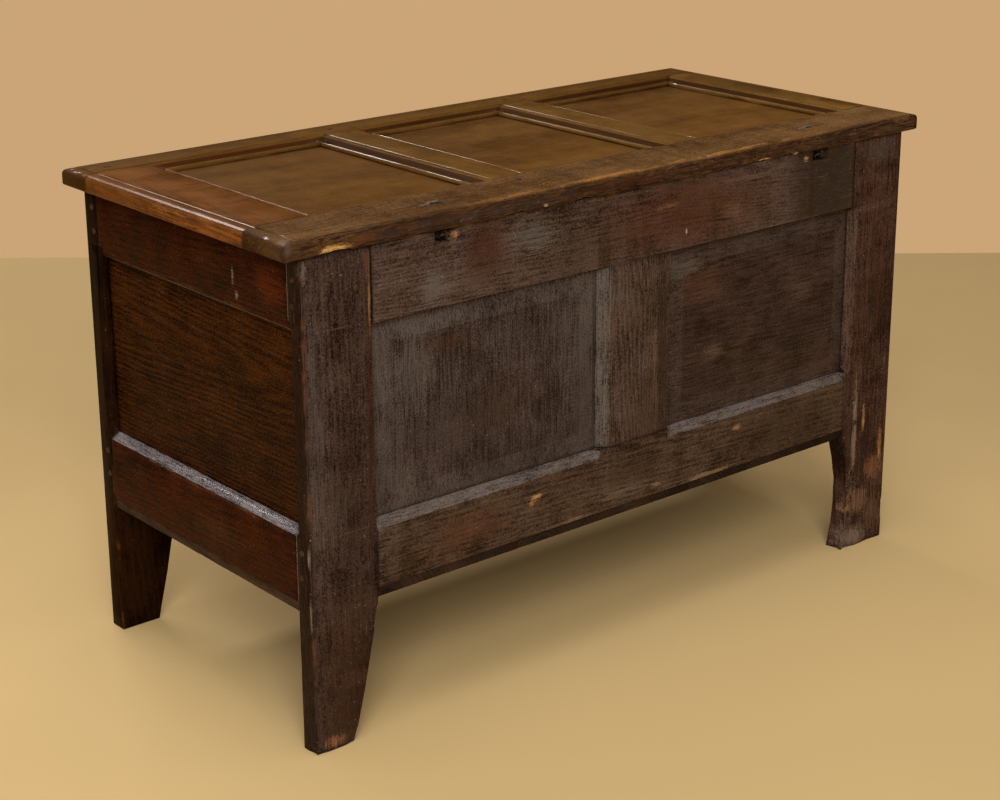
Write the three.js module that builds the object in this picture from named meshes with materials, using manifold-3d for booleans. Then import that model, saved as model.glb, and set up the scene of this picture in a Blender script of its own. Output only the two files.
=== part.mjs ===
// A joined oak coffer: frames of rails, stiles and muntins hold thin panels in grooves,
// every joint is a pegged mortise and tenon, and the three-panel lid turns on a pair of
// linked iron wire eyes at the back. Millimetres, +Z up, the front faces -Y.
import * as THREE from "three";
import { mergeVertices } from "three/addons/utils/BufferGeometryUtils.js";
import Module from "manifold-3d";

const wasm = await Module();
wasm.setup();

// Overall sizes
const CARCASE_LENGTH = 1126;
const CARCASE_DEPTH = 528;
const CARCASE_HEIGHT = 675;
const LID_THICKNESS = 26;
const LID_END_OVERHANG = 28;
const LID_FRONT_OVERHANG = 8;
const LID_BACK_OVERHANG = 6;

// Fits
const JOINT_GAP = 0.3;
const PANEL_PLAY = 1;
const OVERRUN = 5;

// Stiles, which run down as the legs
const STILE_WIDTH = 105;
const STILE_THICKNESS = 30;
const LEG_HEIGHT = 210;
const FOOT_WIDTH = 62;
const FOOT_SWELL = 4;
const WORN_FOOT_WIDTH = 98;
const WORN_FOOT_SCOOP = 15;

// Rails and muntins
const RAIL_THICKNESS = 27;
const FRONT_TOP_RAIL_HEIGHT = 110;
const FRONT_BOTTOM_RAIL_HEIGHT = 122;
const FRONT_RAIL_DROP = 21;
const FRONT_MUNTIN_WIDTH = 104;
const BACK_TOP_RAIL_HEIGHT = 103;
const BACK_BOTTOM_RAIL_HEIGHT = 94;
const BACK_MUNTIN_WIDTH = 135;
const BACK_MUNTIN_OFFSET = -1.5;
const END_TOP_RAIL_HEIGHT = 103;
const END_BOTTOM_RAIL_HEIGHT = 102;

// Panels and the grooves that hold them
const GROOVE_WIDTH = 7;
const GROOVE_DEPTH = 8;
const FRONT_RECESS = 15;
const BACK_RECESS = 12;
const PANEL_THICKNESS = 12;
const PANEL_BEVEL = 32;

// Mouldings and chamfers
const RAIL_MOULDING_WIDTH = 18;
const STILE_MOULDING_WIDTH = 6;
const MOULDING_FILLET = 2.5;
const BOTTOM_CHAMFER_RISE = 9;
const BACK_CHAMFER_RISE = 12;
const MUNTIN_CHAMFER_WIDTH = 17;
const STILE_CHAMFER_WIDTH = 12;
const CHAMFER_STOP = 9;

// Mortise and tenon joints
const TENON_THICKNESS = 8;
const TENON_SHOULDER = 14;
const RAIL_TENON = 50;
const END_TENON = 20;
const MUNTIN_TENON = 35;

// Riven oak pegs
const PEG_RADIUS = 4.6;
const PEG_TIP_RADIUS = 3.8;
const PEG_LENGTH = 28;
const PEG_PROUD = 1;
const RAIL_PEG_SETBACK = 22;
const END_PEG_SETBACK = 11;
const END_PEG_DROP = 30;
const PEG_SIDES = 8;

// Floor boards, laid front to back
const FLOOR_THICKNESS = 14;
const FLOOR_HOUSING = 9;
const FLOOR_EDGE_SETBACK = 2;
const FLOOR_JOINT_SHARES = [0.281, 0.396, 0.525, 0.691];

// Lid frame
const LID_FRONT_RAIL_WIDTH = 62;
const LID_BACK_RAIL_WIDTH = 88;
const LID_LEFT_END_WIDTH = 66;
const LID_RIGHT_END_WIDTH = 96;
const LID_MUNTIN_WIDTH = 53;
const LID_MUNTIN_SHARES = [0.35, 0.638];
const LID_MOULDING_WIDTH = 24;
const LID_RECESS = 12;
const LID_BEAD_RADIUS = 3.2;
const LID_PANEL_THICKNESS = 10.5;
const LID_TENON = 45;
const LID_TENON_SHOULDER = 8;
const LID_PEG_SETBACK = 20;
const LID_PEG_LENGTH = 22;

// Lid edges
const THUMBNAIL_WIDTH = 21;
const THUMBNAIL_STEP = 1.5;
const EDGE_ROUND_WIDTH = 11;
const EDGE_ROUND_HEIGHT = 9;
const UNDER_ROUND = 4;
const BACK_ROUND = 4;

// Linked wire eyes
const HINGE_FROM_RIGHT_END = 225;
const HINGE_FROM_LEFT_END = 186;
const HINGE_WIRE = 4;
const HINGE_EYE_RADIUS = 5.2;
const HINGE_SLACK = 0.6;
const HINGE_SETBACK = 2;
const HINGE_DROP = 7.5;
const HINGE_CLENCH = 18;
const HINGE_BORE_RADIUS = 5;
const HINGE_NOTCH_WIDTH = 34;
const HINGE_NOTCH_DEPTH = 17;
const HINGE_NOTCH_HEIGHT = 17;
const CLENCH_SINK = 2.7;
const HINGE_SLOPE = Math.PI / 4;
const WIRE_SIDES = 8;
const WIRE_STEPS = 44;
const BORE_SIDES = 12;
const CURVE_STEPS = 5;

const HALF_LENGTH = CARCASE_LENGTH / 2;
const HALF_DEPTH = CARCASE_DEPTH / 2;
const LID_HALF_LENGTH = HALF_LENGTH + LID_END_OVERHANG;
const LID_FRONT_Y = -HALF_DEPTH - LID_FRONT_OVERHANG;
const LID_BACK_Y = HALF_DEPTH + LID_BACK_OVERHANG;
const SIDES = [["left", -1], ["right", 1]];

// A frame's own axes: u runs along it, v up it (or back over the lid), and w points out of its face.
const X = new THREE.Vector3(1, 0, 0);
const Y = new THREE.Vector3(0, 1, 0);
const Z = new THREE.Vector3(0, 0, 1);

function faceFrame(u, v, w, origin) {
  return new THREE.Matrix4().makeBasis(u, v, w).setPosition(origin);
}

const FRONT = faceFrame(X, Z, Y.clone().negate(), new THREE.Vector3(0, -HALF_DEPTH, 0));
const BACK = faceFrame(X, Z, Y, new THREE.Vector3(0, HALF_DEPTH, 0));
const LEFT_END = faceFrame(Y, Z, X.clone().negate(), new THREE.Vector3(-HALF_LENGTH, 0, 0));
const RIGHT_END = faceFrame(Y, Z, X, new THREE.Vector3(HALF_LENGTH, 0, 0));
const LID_TOP = faceFrame(X, Y, Z, new THREE.Vector3(0, 0, LID_THICKNESS));
const PLAIN = new THREE.Matrix4();

// A closed surface as a solid, in carcase or lid coordinates. A mirrored frame turns its faces round.
function solidOf(geometry, frame) {
  const bare = geometry.clone();
  bare.deleteAttribute("normal");
  bare.deleteAttribute("uv");
  const merged = mergeVertices(bare).applyMatrix4(frame);
  const triVerts = new Uint32Array(merged.index.array);
  if (frame.determinant() < 0) {
    for (let i = 0; i < triVerts.length; i += 3) {
      [triVerts[i + 1], triVerts[i + 2]] = [triVerts[i + 2], triVerts[i + 1]];
    }
  }
  const vertProperties = merged.attributes.position.array;
  return new wasm.Manifold(new wasm.Mesh({ numProp: 3, vertProperties, triVerts }));
}

function block(frame, [u0, u1], [v0, v1], [w0, w1]) {
  const box = new THREE.BoxGeometry(Math.abs(u1 - u0), Math.abs(v1 - v0), Math.abs(w1 - w0));
  box.translate((u0 + u1) / 2, (v0 + v1) / 2, (w0 + w1) / 2);
  return solidOf(box, frame);
}

function extrusion(frame, outline, x, y, z, start, length) {
  const shape = outline instanceof THREE.Shape ? outline : new THREE.Shape(outline);
  const settings = { depth: length, bevelEnabled: false, curveSegments: CURVE_STEPS, steps: 1 };
  const body = new THREE.ExtrudeGeometry(shape, settings);
  body.applyMatrix4(faceFrame(x, y, z, z.clone().multiplyScalar(start)));
  return solidOf(body, frame);
}

// An outline of u and v through the thickness, of v and w along u, and of u and w along v.
function slab(frame, outline, w0, w1) {
  return extrusion(frame, outline, X, Y, Z, w0, w1 - w0);
}

function alongU(frame, outline, u0, u1) {
  return extrusion(frame, outline, Y, Z, X, u0, u1 - u0);
}

function alongV(frame, outline, v0, v1) {
  return extrusion(frame, outline, X, Z, Y.clone().negate(), -v1, v1 - v0);
}

function point(a, b) {
  return new THREE.Vector2(a, b);
}

// A bar with an axis along a frame's w: peg holes and hinge bores.
function bore(frame, u, v, radius, w0, w1, sides) {
  const bar = new THREE.CylinderGeometry(radius, radius, w1 - w0, sides);
  bar.rotateX(Math.PI / 2).translate(u, v, (w0 + w1) / 2);
  return solidOf(bar, frame);
}

// Edge sections, from the panel's face at the foot, (0, -recess), out to the arris at the face.
function squareEdge(recess) {
  return [point(0, -recess), point(0, 0)];
}

function chamferEdge(recess, rise) {
  return [point(0, -recess), point(rise, 0)];
}

// A hollow between two small fillets.
function hollowEdge(recess, width) {
  const fillet = Math.min(MOULDING_FILLET, width / 3);
  const low = point(0, -recess + fillet);
  const high = point(width - fillet, -fillet);
  const hollow = new THREE.QuadraticBezierCurve(low, point(fillet, -fillet), high);
  const top = [point(width, -fillet), point(width, 0)];
  return [point(0, -recess), ...hollow.getPoints(CURVE_STEPS), ...top];
}

// The lid's section: a bead against the panel, then an ogee rising to a thin fillet at the top.
function ogeeEdge(recess, width, bead) {
  const beadBase = -recess + bead;
  const beadArc = new THREE.EllipseCurve(bead, beadBase, bead, bead, Math.PI, 0, true);
  const start = point(2 * bead, beadBase);
  const end = point(width, -MOULDING_FILLET);
  const low = point(start.x + width / 3, beadBase);
  const high = point(width / 2, -MOULDING_FILLET);
  const ogee = new THREE.CubicBezierCurve(start, low, high, end);
  const curve = [...beadArc.getPoints(CURVE_STEPS), ...ogee.getPoints(CURVE_STEPS + 1).slice(1)];
  return [point(0, -recess), ...curve, point(width, 0)];
}

// The air over a panel, bounded by the sections worked on the four edges round it.
function openingVoid(frame, foot, edges) {
  const section = (low, high, from, to) => [
    ...low.map((p) => point(from - p.x, p.y)),
    point(from - low.at(-1).x, OVERRUN),
    point(to + high.at(-1).x, OVERRUN),
    ...high.map((p) => point(to + p.x, p.y)).reverse(),
  ];
  const reach = Math.max(...Object.values(edges).map((edge) => edge.at(-1).x)) + OVERRUN;
  const sides = section(edges.left, edges.right, foot.u0, foot.u1);
  const ends = section(edges.bottom, edges.top, foot.v0, foot.v1);
  const across = alongV(frame, sides, foot.v0 - reach, foot.v1 + reach);
  return across.intersect(alongU(frame, ends, foot.u0 - reach, foot.u1 + reach));
}

// The groove round an opening, cut as one sunk block a little larger than the sight size.
function grooveCut(frame, foot, recess) {
  const u = [foot.u0 - GROOVE_DEPTH, foot.u1 + GROOVE_DEPTH];
  const v = [foot.v0 - GROOVE_DEPTH, foot.v1 + GROOVE_DEPTH];
  return block(frame, u, v, [-recess - GROOVE_WIDTH, -recess]);
}

// A panel thinned to a tongue round its edges. The bevels face out on the rough back panels.
function panelSolid(frame, foot, recess, thickness, bevelOutside) {
  const grip = GROOVE_DEPTH - PANEL_PLAY;
  const face = -recess - JOINT_GAP;
  const tongue = face - GROOVE_WIDTH + 2 * JOINT_GAP;
  const flat = bevelOutside ? tongue : face;
  const edge = bevelOutside ? face : tongue;
  const field = bevelOutside ? flat + thickness : flat - thickness;
  const section = (from, to) => [
    point(from - grip, flat),
    point(to + grip, flat),
    point(to + grip, edge),
    point(to, edge),
    point(to - PANEL_BEVEL, field),
    point(from + PANEL_BEVEL, field),
    point(from, edge),
    point(from - grip, edge),
  ];
  const across = alongV(frame, section(foot.u0, foot.u1), foot.v0 - grip, foot.v1 + grip);
  return across.intersect(alongU(frame, section(foot.v0, foot.v1), foot.u0 - grip, foot.u1 + grip));
}

// A tenon lies in line with the groove. Grown by the joint gap it is the mortise.
function tenonBlock(frame, [u0, u1], [v0, v1], recess, gap) {
  const middle = -recess - GROOVE_WIDTH / 2;
  const half = TENON_THICKNESS / 2 + gap;
  return block(frame, [u0 - gap, u1 + gap], [v0 - gap, v1 + gap], [middle - half, middle + half]);
}

// A worked chamfer on an edge that runs along u at height v, with slanting stops at both ends.
function stoppedChamfer(frame, [u0, u1], v, rise, depth) {
  const slope = [
    point(v - rise, OVERRUN),
    point(v - rise, 0),
    point(v, -depth),
    point(v + OVERRUN, -depth),
    point(v + OVERRUN, OVERRUN),
  ];
  const stops = [
    point(u0, OVERRUN),
    point(u0, 0),
    point(u0 + CHAMFER_STOP, -depth),
    point(u1 - CHAMFER_STOP, -depth),
    point(u1, 0),
    point(u1, OVERRUN),
  ];
  return alongU(frame, slope, u0, u1).intersect(alongV(frame, stops, v - rise - OVERRUN, v + OVERRUN));
}

// The same on an edge that runs up the frame at u, cut towards the side given by the sign.
function uprightChamfer(frame, u, sign, width, depth, [v0, v1], stop) {
  const slope = [
    point(u + sign * width, OVERRUN),
    point(u + sign * width, 0),
    point(u, -depth),
    point(u - sign * OVERRUN, -depth),
    point(u - sign * OVERRUN, OVERRUN),
  ];
  const stops = [
    point(v0, OVERRUN),
    point(v0, 0),
    point(v0 + stop, -depth),
    point(v1 - stop, -depth),
    point(v1, 0),
    point(v1, OVERRUN),
  ];
  const reach = width + OVERRUN;
  return alongV(frame, slope, v0, v1).intersect(alongU(frame, stops, u - reach, u + reach));
}

// The carcase's long frames. Each rail is given by the heights between which it lies.
const INNER_EDGE = HALF_LENGTH - STILE_WIDTH;
const FRONT_BOTTOM = LEG_HEIGHT - FRONT_RAIL_DROP;
const FRONT_FACE = {
  name: "front",
  sign: -1,
  frame: FRONT,
  recess: FRONT_RECESS,
  bottom: [FRONT_BOTTOM, FRONT_BOTTOM + FRONT_BOTTOM_RAIL_HEIGHT],
  top: [CARCASE_HEIGHT - FRONT_TOP_RAIL_HEIGHT, CARCASE_HEIGHT],
};
const BACK_FACE = {
  name: "back",
  sign: 1,
  frame: BACK,
  recess: BACK_RECESS,
  bottom: [LEG_HEIGHT, LEG_HEIGHT + BACK_BOTTOM_RAIL_HEIGHT],
  top: [CARCASE_HEIGHT - BACK_TOP_RAIL_HEIGHT, CARCASE_HEIGHT],
};
const END_BOTTOM = [LEG_HEIGHT, LEG_HEIGHT + END_BOTTOM_RAIL_HEIGHT];
const END_TOP = [CARCASE_HEIGHT - END_TOP_RAIL_HEIGHT, CARCASE_HEIGHT];
const END_EDGE = HALF_DEPTH - STILE_THICKNESS;

const FRONT_PANEL_WIDTH = (2 * INNER_EDGE - 2 * FRONT_MUNTIN_WIDTH) / 3;
const FRONT_MUNTINS = SIDES.map(([name, sign]) => {
  const middle = sign * (FRONT_PANEL_WIDTH + FRONT_MUNTIN_WIDTH) / 2;
  return { name, u0: middle - FRONT_MUNTIN_WIDTH / 2, u1: middle + FRONT_MUNTIN_WIDTH / 2 };
});
const BACK_MUNTIN = {
  u0: BACK_MUNTIN_OFFSET - BACK_MUNTIN_WIDTH / 2,
  u1: BACK_MUNTIN_OFFSET + BACK_MUNTIN_WIDTH / 2,
};

function foot(u0, u1, [, v0], [v1]) {
  return { u0, u1, v0, v1 };
}

const FRONT_OPENINGS = {
  left: foot(-INNER_EDGE, FRONT_MUNTINS[0].u0, FRONT_FACE.bottom, FRONT_FACE.top),
  middle: foot(FRONT_MUNTINS[0].u1, FRONT_MUNTINS[1].u0, FRONT_FACE.bottom, FRONT_FACE.top),
  right: foot(FRONT_MUNTINS[1].u1, INNER_EDGE, FRONT_FACE.bottom, FRONT_FACE.top),
};
const BACK_OPENINGS = {
  left: foot(-INNER_EDGE, BACK_MUNTIN.u0, BACK_FACE.bottom, BACK_FACE.top),
  right: foot(BACK_MUNTIN.u1, INNER_EDGE, BACK_FACE.bottom, BACK_FACE.top),
};
const END_OPENING = foot(-END_EDGE, END_EDGE, END_BOTTOM, END_TOP);

// What each frame takes off the pieces round its openings: mouldings first, then grooves.
function frontCuts() {
  const rail = hollowEdge(FRONT_RECESS, RAIL_MOULDING_WIDTH);
  const bottom = chamferEdge(FRONT_RECESS, BOTTOM_CHAMFER_RISE);
  const edges = { left: rail, right: rail, top: rail, bottom };
  return Object.values(FRONT_OPENINGS).flatMap((opening) => [
    openingVoid(FRONT, opening, edges),
    grooveCut(FRONT, opening, FRONT_RECESS),
  ]);
}

function backCuts() {
  const across = (opening) => [opening.u0, opening.u1];
  const [left, right] = [BACK_OPENINGS.left, BACK_OPENINGS.right];
  const chamfers = [left, right].map((opening) =>
    stoppedChamfer(BACK, across(opening), opening.v0, BACK_CHAMFER_RISE, BACK_RECESS),
  );
  const muntinHeights = [right.v0 - JOINT_GAP, right.v1 + JOINT_GAP];
  chamfers.push(
    uprightChamfer(BACK, right.u0, -1, MUNTIN_CHAMFER_WIDTH, BACK_RECESS, muntinHeights, 0),
    uprightChamfer(BACK, left.u0, -1, STILE_CHAMFER_WIDTH, BACK_RECESS, [left.v0, left.v1], CHAMFER_STOP),
  );
  return [...chamfers, grooveCut(BACK, left, BACK_RECESS), grooveCut(BACK, right, BACK_RECESS)];
}

function endCuts(frame) {
  const side = hollowEdge(FRONT_RECESS, STILE_MOULDING_WIDTH);
  const top = hollowEdge(FRONT_RECESS, RAIL_MOULDING_WIDTH);
  const bottom = chamferEdge(FRONT_RECESS, BOTTOM_CHAMFER_RISE);
  const edges = { left: side, right: side, top, bottom };
  return [openingVoid(frame, END_OPENING, edges), grooveCut(frame, END_OPENING, FRONT_RECESS)];
}

const FRONT_CUTS = frontCuts();
const BACK_CUTS = backCuts();
const END_CUTS = { left: endCuts(LEFT_END), right: endCuts(RIGHT_END) };

function cut(solid, cutters) {
  return cutters.reduce((left, cutter) => left.subtract(cutter), solid);
}

function join(solid, pieces) {
  return pieces.reduce((sum, piece) => sum.add(piece), solid);
}

// Tenons of a rail on a long face: the heights are those of the rail less its shoulders.
function railTenon(face, rail, sign, gap) {
  const reach = [sign * (INNER_EDGE - TENON_SHOULDER), sign * (INNER_EDGE + RAIL_TENON)];
  const heights = [rail[0] + TENON_SHOULDER, rail[1] - TENON_SHOULDER];
  return tenonBlock(face.frame, reach.sort((a, b) => a - b), heights, face.recess, gap);
}

function endTenon(frame, rail, sign, gap) {
  const reach = [sign * (END_EDGE - TENON_SHOULDER), sign * (END_EDGE + END_TENON)];
  const heights = [rail[0] + TENON_SHOULDER, rail[1] - TENON_SHOULDER];
  return tenonBlock(frame, reach.sort((a, b) => a - b), heights, FRONT_RECESS, gap);
}

function muntinTenon(face, muntin, end, gap) {
  const widths = [muntin.u0 + TENON_SHOULDER, muntin.u1 - TENON_SHOULDER];
  const lower = [face.bottom[1] - MUNTIN_TENON, face.bottom[1] + TENON_SHOULDER];
  const upper = [face.top[0] - TENON_SHOULDER, face.top[0] + MUNTIN_TENON];
  return tenonBlock(face.frame, widths, end === "lower" ? lower : upper, face.recess, gap);
}

function pegHole(frame, u, v, depth) {
  return bore(frame, u, v, PEG_RADIUS + JOINT_GAP, -depth, OVERRUN, PEG_SIDES);
}

function middleOf([low, high]) {
  return (low + high) / 2;
}

function railPegHole(face, rail, sign) {
  const u = sign * (INNER_EDGE + RAIL_PEG_SETBACK);
  return pegHole(face.frame, u, middleOf(rail), STILE_THICKNESS + OVERRUN);
}

function endPegHole(frame, rail, sign) {
  const depth = PEG_LENGTH - PEG_PROUD + PANEL_PLAY;
  return pegHole(frame, sign * (END_EDGE + END_PEG_SETBACK), rail[1] - END_PEG_DROP, depth);
}

// A stile's outline: straight outside, with the inner edge drawn in to a narrower foot.
// One back foot kept its full width and is worn hollow instead.
function stileOutline(sign, worn) {
  const outer = sign * HALF_LENGTH;
  const inner = sign * INNER_EDGE;
  const toe = sign * (HALF_LENGTH - (worn ? WORN_FOOT_WIDTH : FOOT_WIDTH));
  const pull = sign * (worn ? 2 * WORN_FOOT_SCOOP : -FOOT_SWELL);
  const outline = new THREE.Shape();
  outline.moveTo(outer, 0);
  outline.lineTo(outer, CARCASE_HEIGHT);
  outline.lineTo(inner, CARCASE_HEIGHT);
  outline.lineTo(inner, LEG_HEIGHT - FRONT_RAIL_DROP);
  outline.quadraticCurveTo((inner + toe) / 2 + pull, (LEG_HEIGHT - FRONT_RAIL_DROP) / 2, toe, 0);
  return outline;
}

function stile(face, [sideName, sign]) {
  const worn = face === BACK_FACE && sign < 0;
  const endFrame = sign < 0 ? LEFT_END : RIGHT_END;
  const blank = slab(face.frame, stileOutline(sign, worn), -STILE_THICKNESS, 0);
  const mortises = [face.bottom, face.top].map((rail) => railTenon(face, rail, sign, JOINT_GAP));
  const endRails = [END_BOTTOM, END_TOP];
  const endMortises = endRails.map((rail) => endTenon(endFrame, rail, face.sign, JOINT_GAP));
  const holes = [face.bottom, face.top].map((rail) => railPegHole(face, rail, sign));
  const endHoles = endRails.map((rail) => endPegHole(endFrame, rail, face.sign));
  const cuts = face === FRONT_FACE ? FRONT_CUTS : BACK_CUTS;
  return cut(blank, [...cuts, ...END_CUTS[sideName], ...mortises, ...endMortises, ...holes, ...endHoles]);
}

function longRail(face, rail, muntins, end, cuts) {
  const reach = INNER_EDGE - JOINT_GAP;
  const blank = block(face.frame, [-reach, reach], rail, [-RAIL_THICKNESS, 0]);
  const tenons = SIDES.map(([, sign]) => railTenon(face, rail, sign, 0));
  const mortises = muntins.map((muntin) => muntinTenon(face, muntin, end, JOINT_GAP));
  const holes = SIDES.map(([, sign]) => railPegHole(face, rail, sign));
  return cut(join(cut(blank, cuts), tenons), [...mortises, ...holes]);
}

function muntinSolid(face, muntin, cuts) {
  const heights = [face.bottom[1] + JOINT_GAP, face.top[0] - JOINT_GAP];
  const blank = block(face.frame, [muntin.u0, muntin.u1], heights, [-RAIL_THICKNESS, 0]);
  const tenons = ["lower", "upper"].map((end) => muntinTenon(face, muntin, end, 0));
  return join(cut(blank, cuts), tenons);
}

function endRail(frame, rail, cuts) {
  const reach = END_EDGE - JOINT_GAP;
  const blank = block(frame, [-reach, reach], rail, [-RAIL_THICKNESS, 0]);
  const tenons = SIDES.map(([, sign]) => endTenon(frame, rail, sign, 0));
  const holes = SIDES.map(([, sign]) => endPegHole(frame, rail, sign));
  return cut(join(cut(blank, cuts), tenons), holes);
}

// The floor is nailed up under the back and end rails and housed in the front rail.
function floorHousing() {
  const inner = -RAIL_THICKNESS;
  const heights = [LEG_HEIGHT - FLOOR_THICKNESS - JOINT_GAP, LEG_HEIGHT];
  return block(FRONT, [-INNER_EDGE, INNER_EDGE], heights, [inner - OVERRUN, inner + FLOOR_HOUSING]);
}

function floorBoard(index) {
  const edge = HALF_LENGTH - FLOOR_EDGE_SETBACK;
  const joints = FLOOR_JOINT_SHARES.map((share) => share * CARCASE_LENGTH - HALF_LENGTH);
  const edges = [-edge - JOINT_GAP / 2, ...joints, edge + JOINT_GAP / 2];
  const x = [edges[index] + JOINT_GAP / 2, edges[index + 1] - JOINT_GAP / 2];
  const front = -HALF_DEPTH + RAIL_THICKNESS - FLOOR_HOUSING + JOINT_GAP;
  const y = [front, HALF_DEPTH - FLOOR_EDGE_SETBACK];
  const z = [LEG_HEIGHT - FLOOR_THICKNESS, LEG_HEIGHT - JOINT_GAP];
  const notches = SIDES.flatMap(([, sign]) => {
    const across = [sign * (INNER_EDGE - JOINT_GAP), sign * (HALF_LENGTH + OVERRUN)];
    const back = [END_EDGE - JOINT_GAP, HALF_DEPTH + OVERRUN];
    const ahead = [-HALF_DEPTH - OVERRUN, -END_EDGE + JOINT_GAP];
    const through = [z[0] - OVERRUN, z[1] + OVERRUN];
    return [block(PLAIN, across, back, through), block(PLAIN, across, ahead, through)];
  });
  return cut(block(PLAIN, x, y, z), notches);
}

// The lid is built with its underside at z = 0.
const LID_FRONT_ARRIS = LID_FRONT_Y + LID_FRONT_RAIL_WIDTH;
const LID_BACK_ARRIS = LID_BACK_Y - LID_BACK_RAIL_WIDTH;
const LID_MUNTINS = LID_MUNTIN_SHARES.map((share) => {
  const middle = (2 * share - 1) * LID_HALF_LENGTH;
  return { u0: middle - LID_MUNTIN_WIDTH / 2, u1: middle + LID_MUNTIN_WIDTH / 2 };
});
const LID_ARRISES = [
  [-LID_HALF_LENGTH + LID_LEFT_END_WIDTH, LID_MUNTINS[0].u0],
  [LID_MUNTINS[0].u1, LID_MUNTINS[1].u0],
  [LID_MUNTINS[1].u1, LID_HALF_LENGTH - LID_RIGHT_END_WIDTH],
];
const LID_OPENINGS = LID_ARRISES.map(([u0, u1]) => ({
  u0: u0 + LID_MOULDING_WIDTH,
  u1: u1 - LID_MOULDING_WIDTH,
  v0: LID_FRONT_ARRIS + LID_MOULDING_WIDTH,
  v1: LID_BACK_ARRIS - LID_MOULDING_WIDTH,
}));

// The worked edge of the lid in section: a scratched line, a shallow step and a rounded nose.
function thumbnailEdge(edge, sign) {
  const at = (inset, drop) => point(edge - sign * inset, LID_THICKNESS - drop);
  const lower = THUMBNAIL_STEP;
  const nose = new THREE.QuadraticBezierCurve(
    at(EDGE_ROUND_WIDTH, lower),
    at(0, lower),
    at(0, lower + EDGE_ROUND_HEIGHT),
  );
  const under = new THREE.QuadraticBezierCurve(
    point(edge, UNDER_ROUND),
    point(edge, 0),
    point(edge - sign * UNDER_ROUND, 0),
  );
  const line = [at(THUMBNAIL_WIDTH, 0), at(THUMBNAIL_WIDTH - lower, 2 * lower)];
  const step = at(THUMBNAIL_WIDTH - 2 * lower, lower);
  return [...line, step, ...nose.getPoints(CURVE_STEPS), ...under.getPoints(CURVE_STEPS)];
}

function wornBackEdge() {
  const high = new THREE.QuadraticBezierCurve(
    point(LID_BACK_Y - BACK_ROUND, LID_THICKNESS),
    point(LID_BACK_Y, LID_THICKNESS),
    point(LID_BACK_Y, LID_THICKNESS - BACK_ROUND),
  );
  const low = [point(LID_BACK_Y, BACK_ROUND / 2), point(LID_BACK_Y - BACK_ROUND / 2, 0)];
  return [...high.getPoints(CURVE_STEPS), ...low];
}

function lidEnvelope() {
  const frontToBack = [...wornBackEdge(), ...thumbnailEdge(LID_FRONT_Y, -1).reverse()];
  const leftNose = thumbnailEdge(-LID_HALF_LENGTH, -1).reverse();
  const sideToSide = [...thumbnailEdge(LID_HALF_LENGTH, 1), ...leftNose];
  const long = alongU(PLAIN, frontToBack, -LID_HALF_LENGTH - OVERRUN, LID_HALF_LENGTH + OVERRUN);
  return long.intersect(alongV(PLAIN, sideToSide, LID_FRONT_Y - OVERRUN, LID_BACK_Y + OVERRUN));
}

const LID_ENVELOPE = lidEnvelope();
const LID_EDGE = ogeeEdge(LID_RECESS, LID_MOULDING_WIDTH, LID_BEAD_RADIUS);
const LID_CUTS = LID_OPENINGS.flatMap((opening) => {
  const edges = { left: LID_EDGE, right: LID_EDGE, top: LID_EDGE, bottom: LID_EDGE };
  return [openingVoid(LID_TOP, opening, edges), grooveCut(LID_TOP, opening, LID_RECESS)];
});

// The pieces that run across the lid, with the edges of their flat tops. A moulded edge has an
// opening beside it, and there the piece is mitred into the long rails.
const LEFT_MOULDED = { mouldLeft: LID_MOULDING_WIDTH, mouldRight: 0 };
const RIGHT_MOULDED = { mouldLeft: 0, mouldRight: LID_MOULDING_WIDTH };
const BOTH_MOULDED = { mouldLeft: LID_MOULDING_WIDTH, mouldRight: LID_MOULDING_WIDTH };
const LID_CROSS_PIECES = {
  lid_left_end: { u0: -LID_HALF_LENGTH, u1: LID_ARRISES[0][0], ...RIGHT_MOULDED },
  lid_left_muntin: { ...LID_MUNTINS[0], ...BOTH_MOULDED },
  lid_right_muntin: { ...LID_MUNTINS[1], ...BOTH_MOULDED },
  lid_right_end: { u0: LID_ARRISES[2][1], u1: LID_HALF_LENGTH, ...LEFT_MOULDED },
};

function lidTenon(piece, end, gap) {
  const widths = [piece.u0 + LID_TENON_SHOULDER, piece.u1 - LID_TENON_SHOULDER];
  const front = [LID_FRONT_ARRIS - LID_TENON, LID_FRONT_ARRIS + LID_TENON_SHOULDER];
  const back = [LID_BACK_ARRIS - LID_TENON_SHOULDER, LID_BACK_ARRIS + LID_TENON];
  return tenonBlock(LID_TOP, widths, end === "front" ? front : back, LID_RECESS, gap);
}

function lidPegPlace(piece, end) {
  const v = end === "front" ? LID_FRONT_ARRIS - LID_PEG_SETBACK : LID_BACK_ARRIS + LID_PEG_SETBACK;
  return { u: (piece.u0 + piece.u1) / 2, v };
}

function lidPegHole(piece, end) {
  const { u, v } = lidPegPlace(piece, end);
  return pegHole(LID_TOP, u, v, LID_PEG_LENGTH + PANEL_PLAY);
}

function lidEnds() {
  return [LID_CROSS_PIECES.lid_left_end, LID_CROSS_PIECES.lid_right_end];
}

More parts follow.
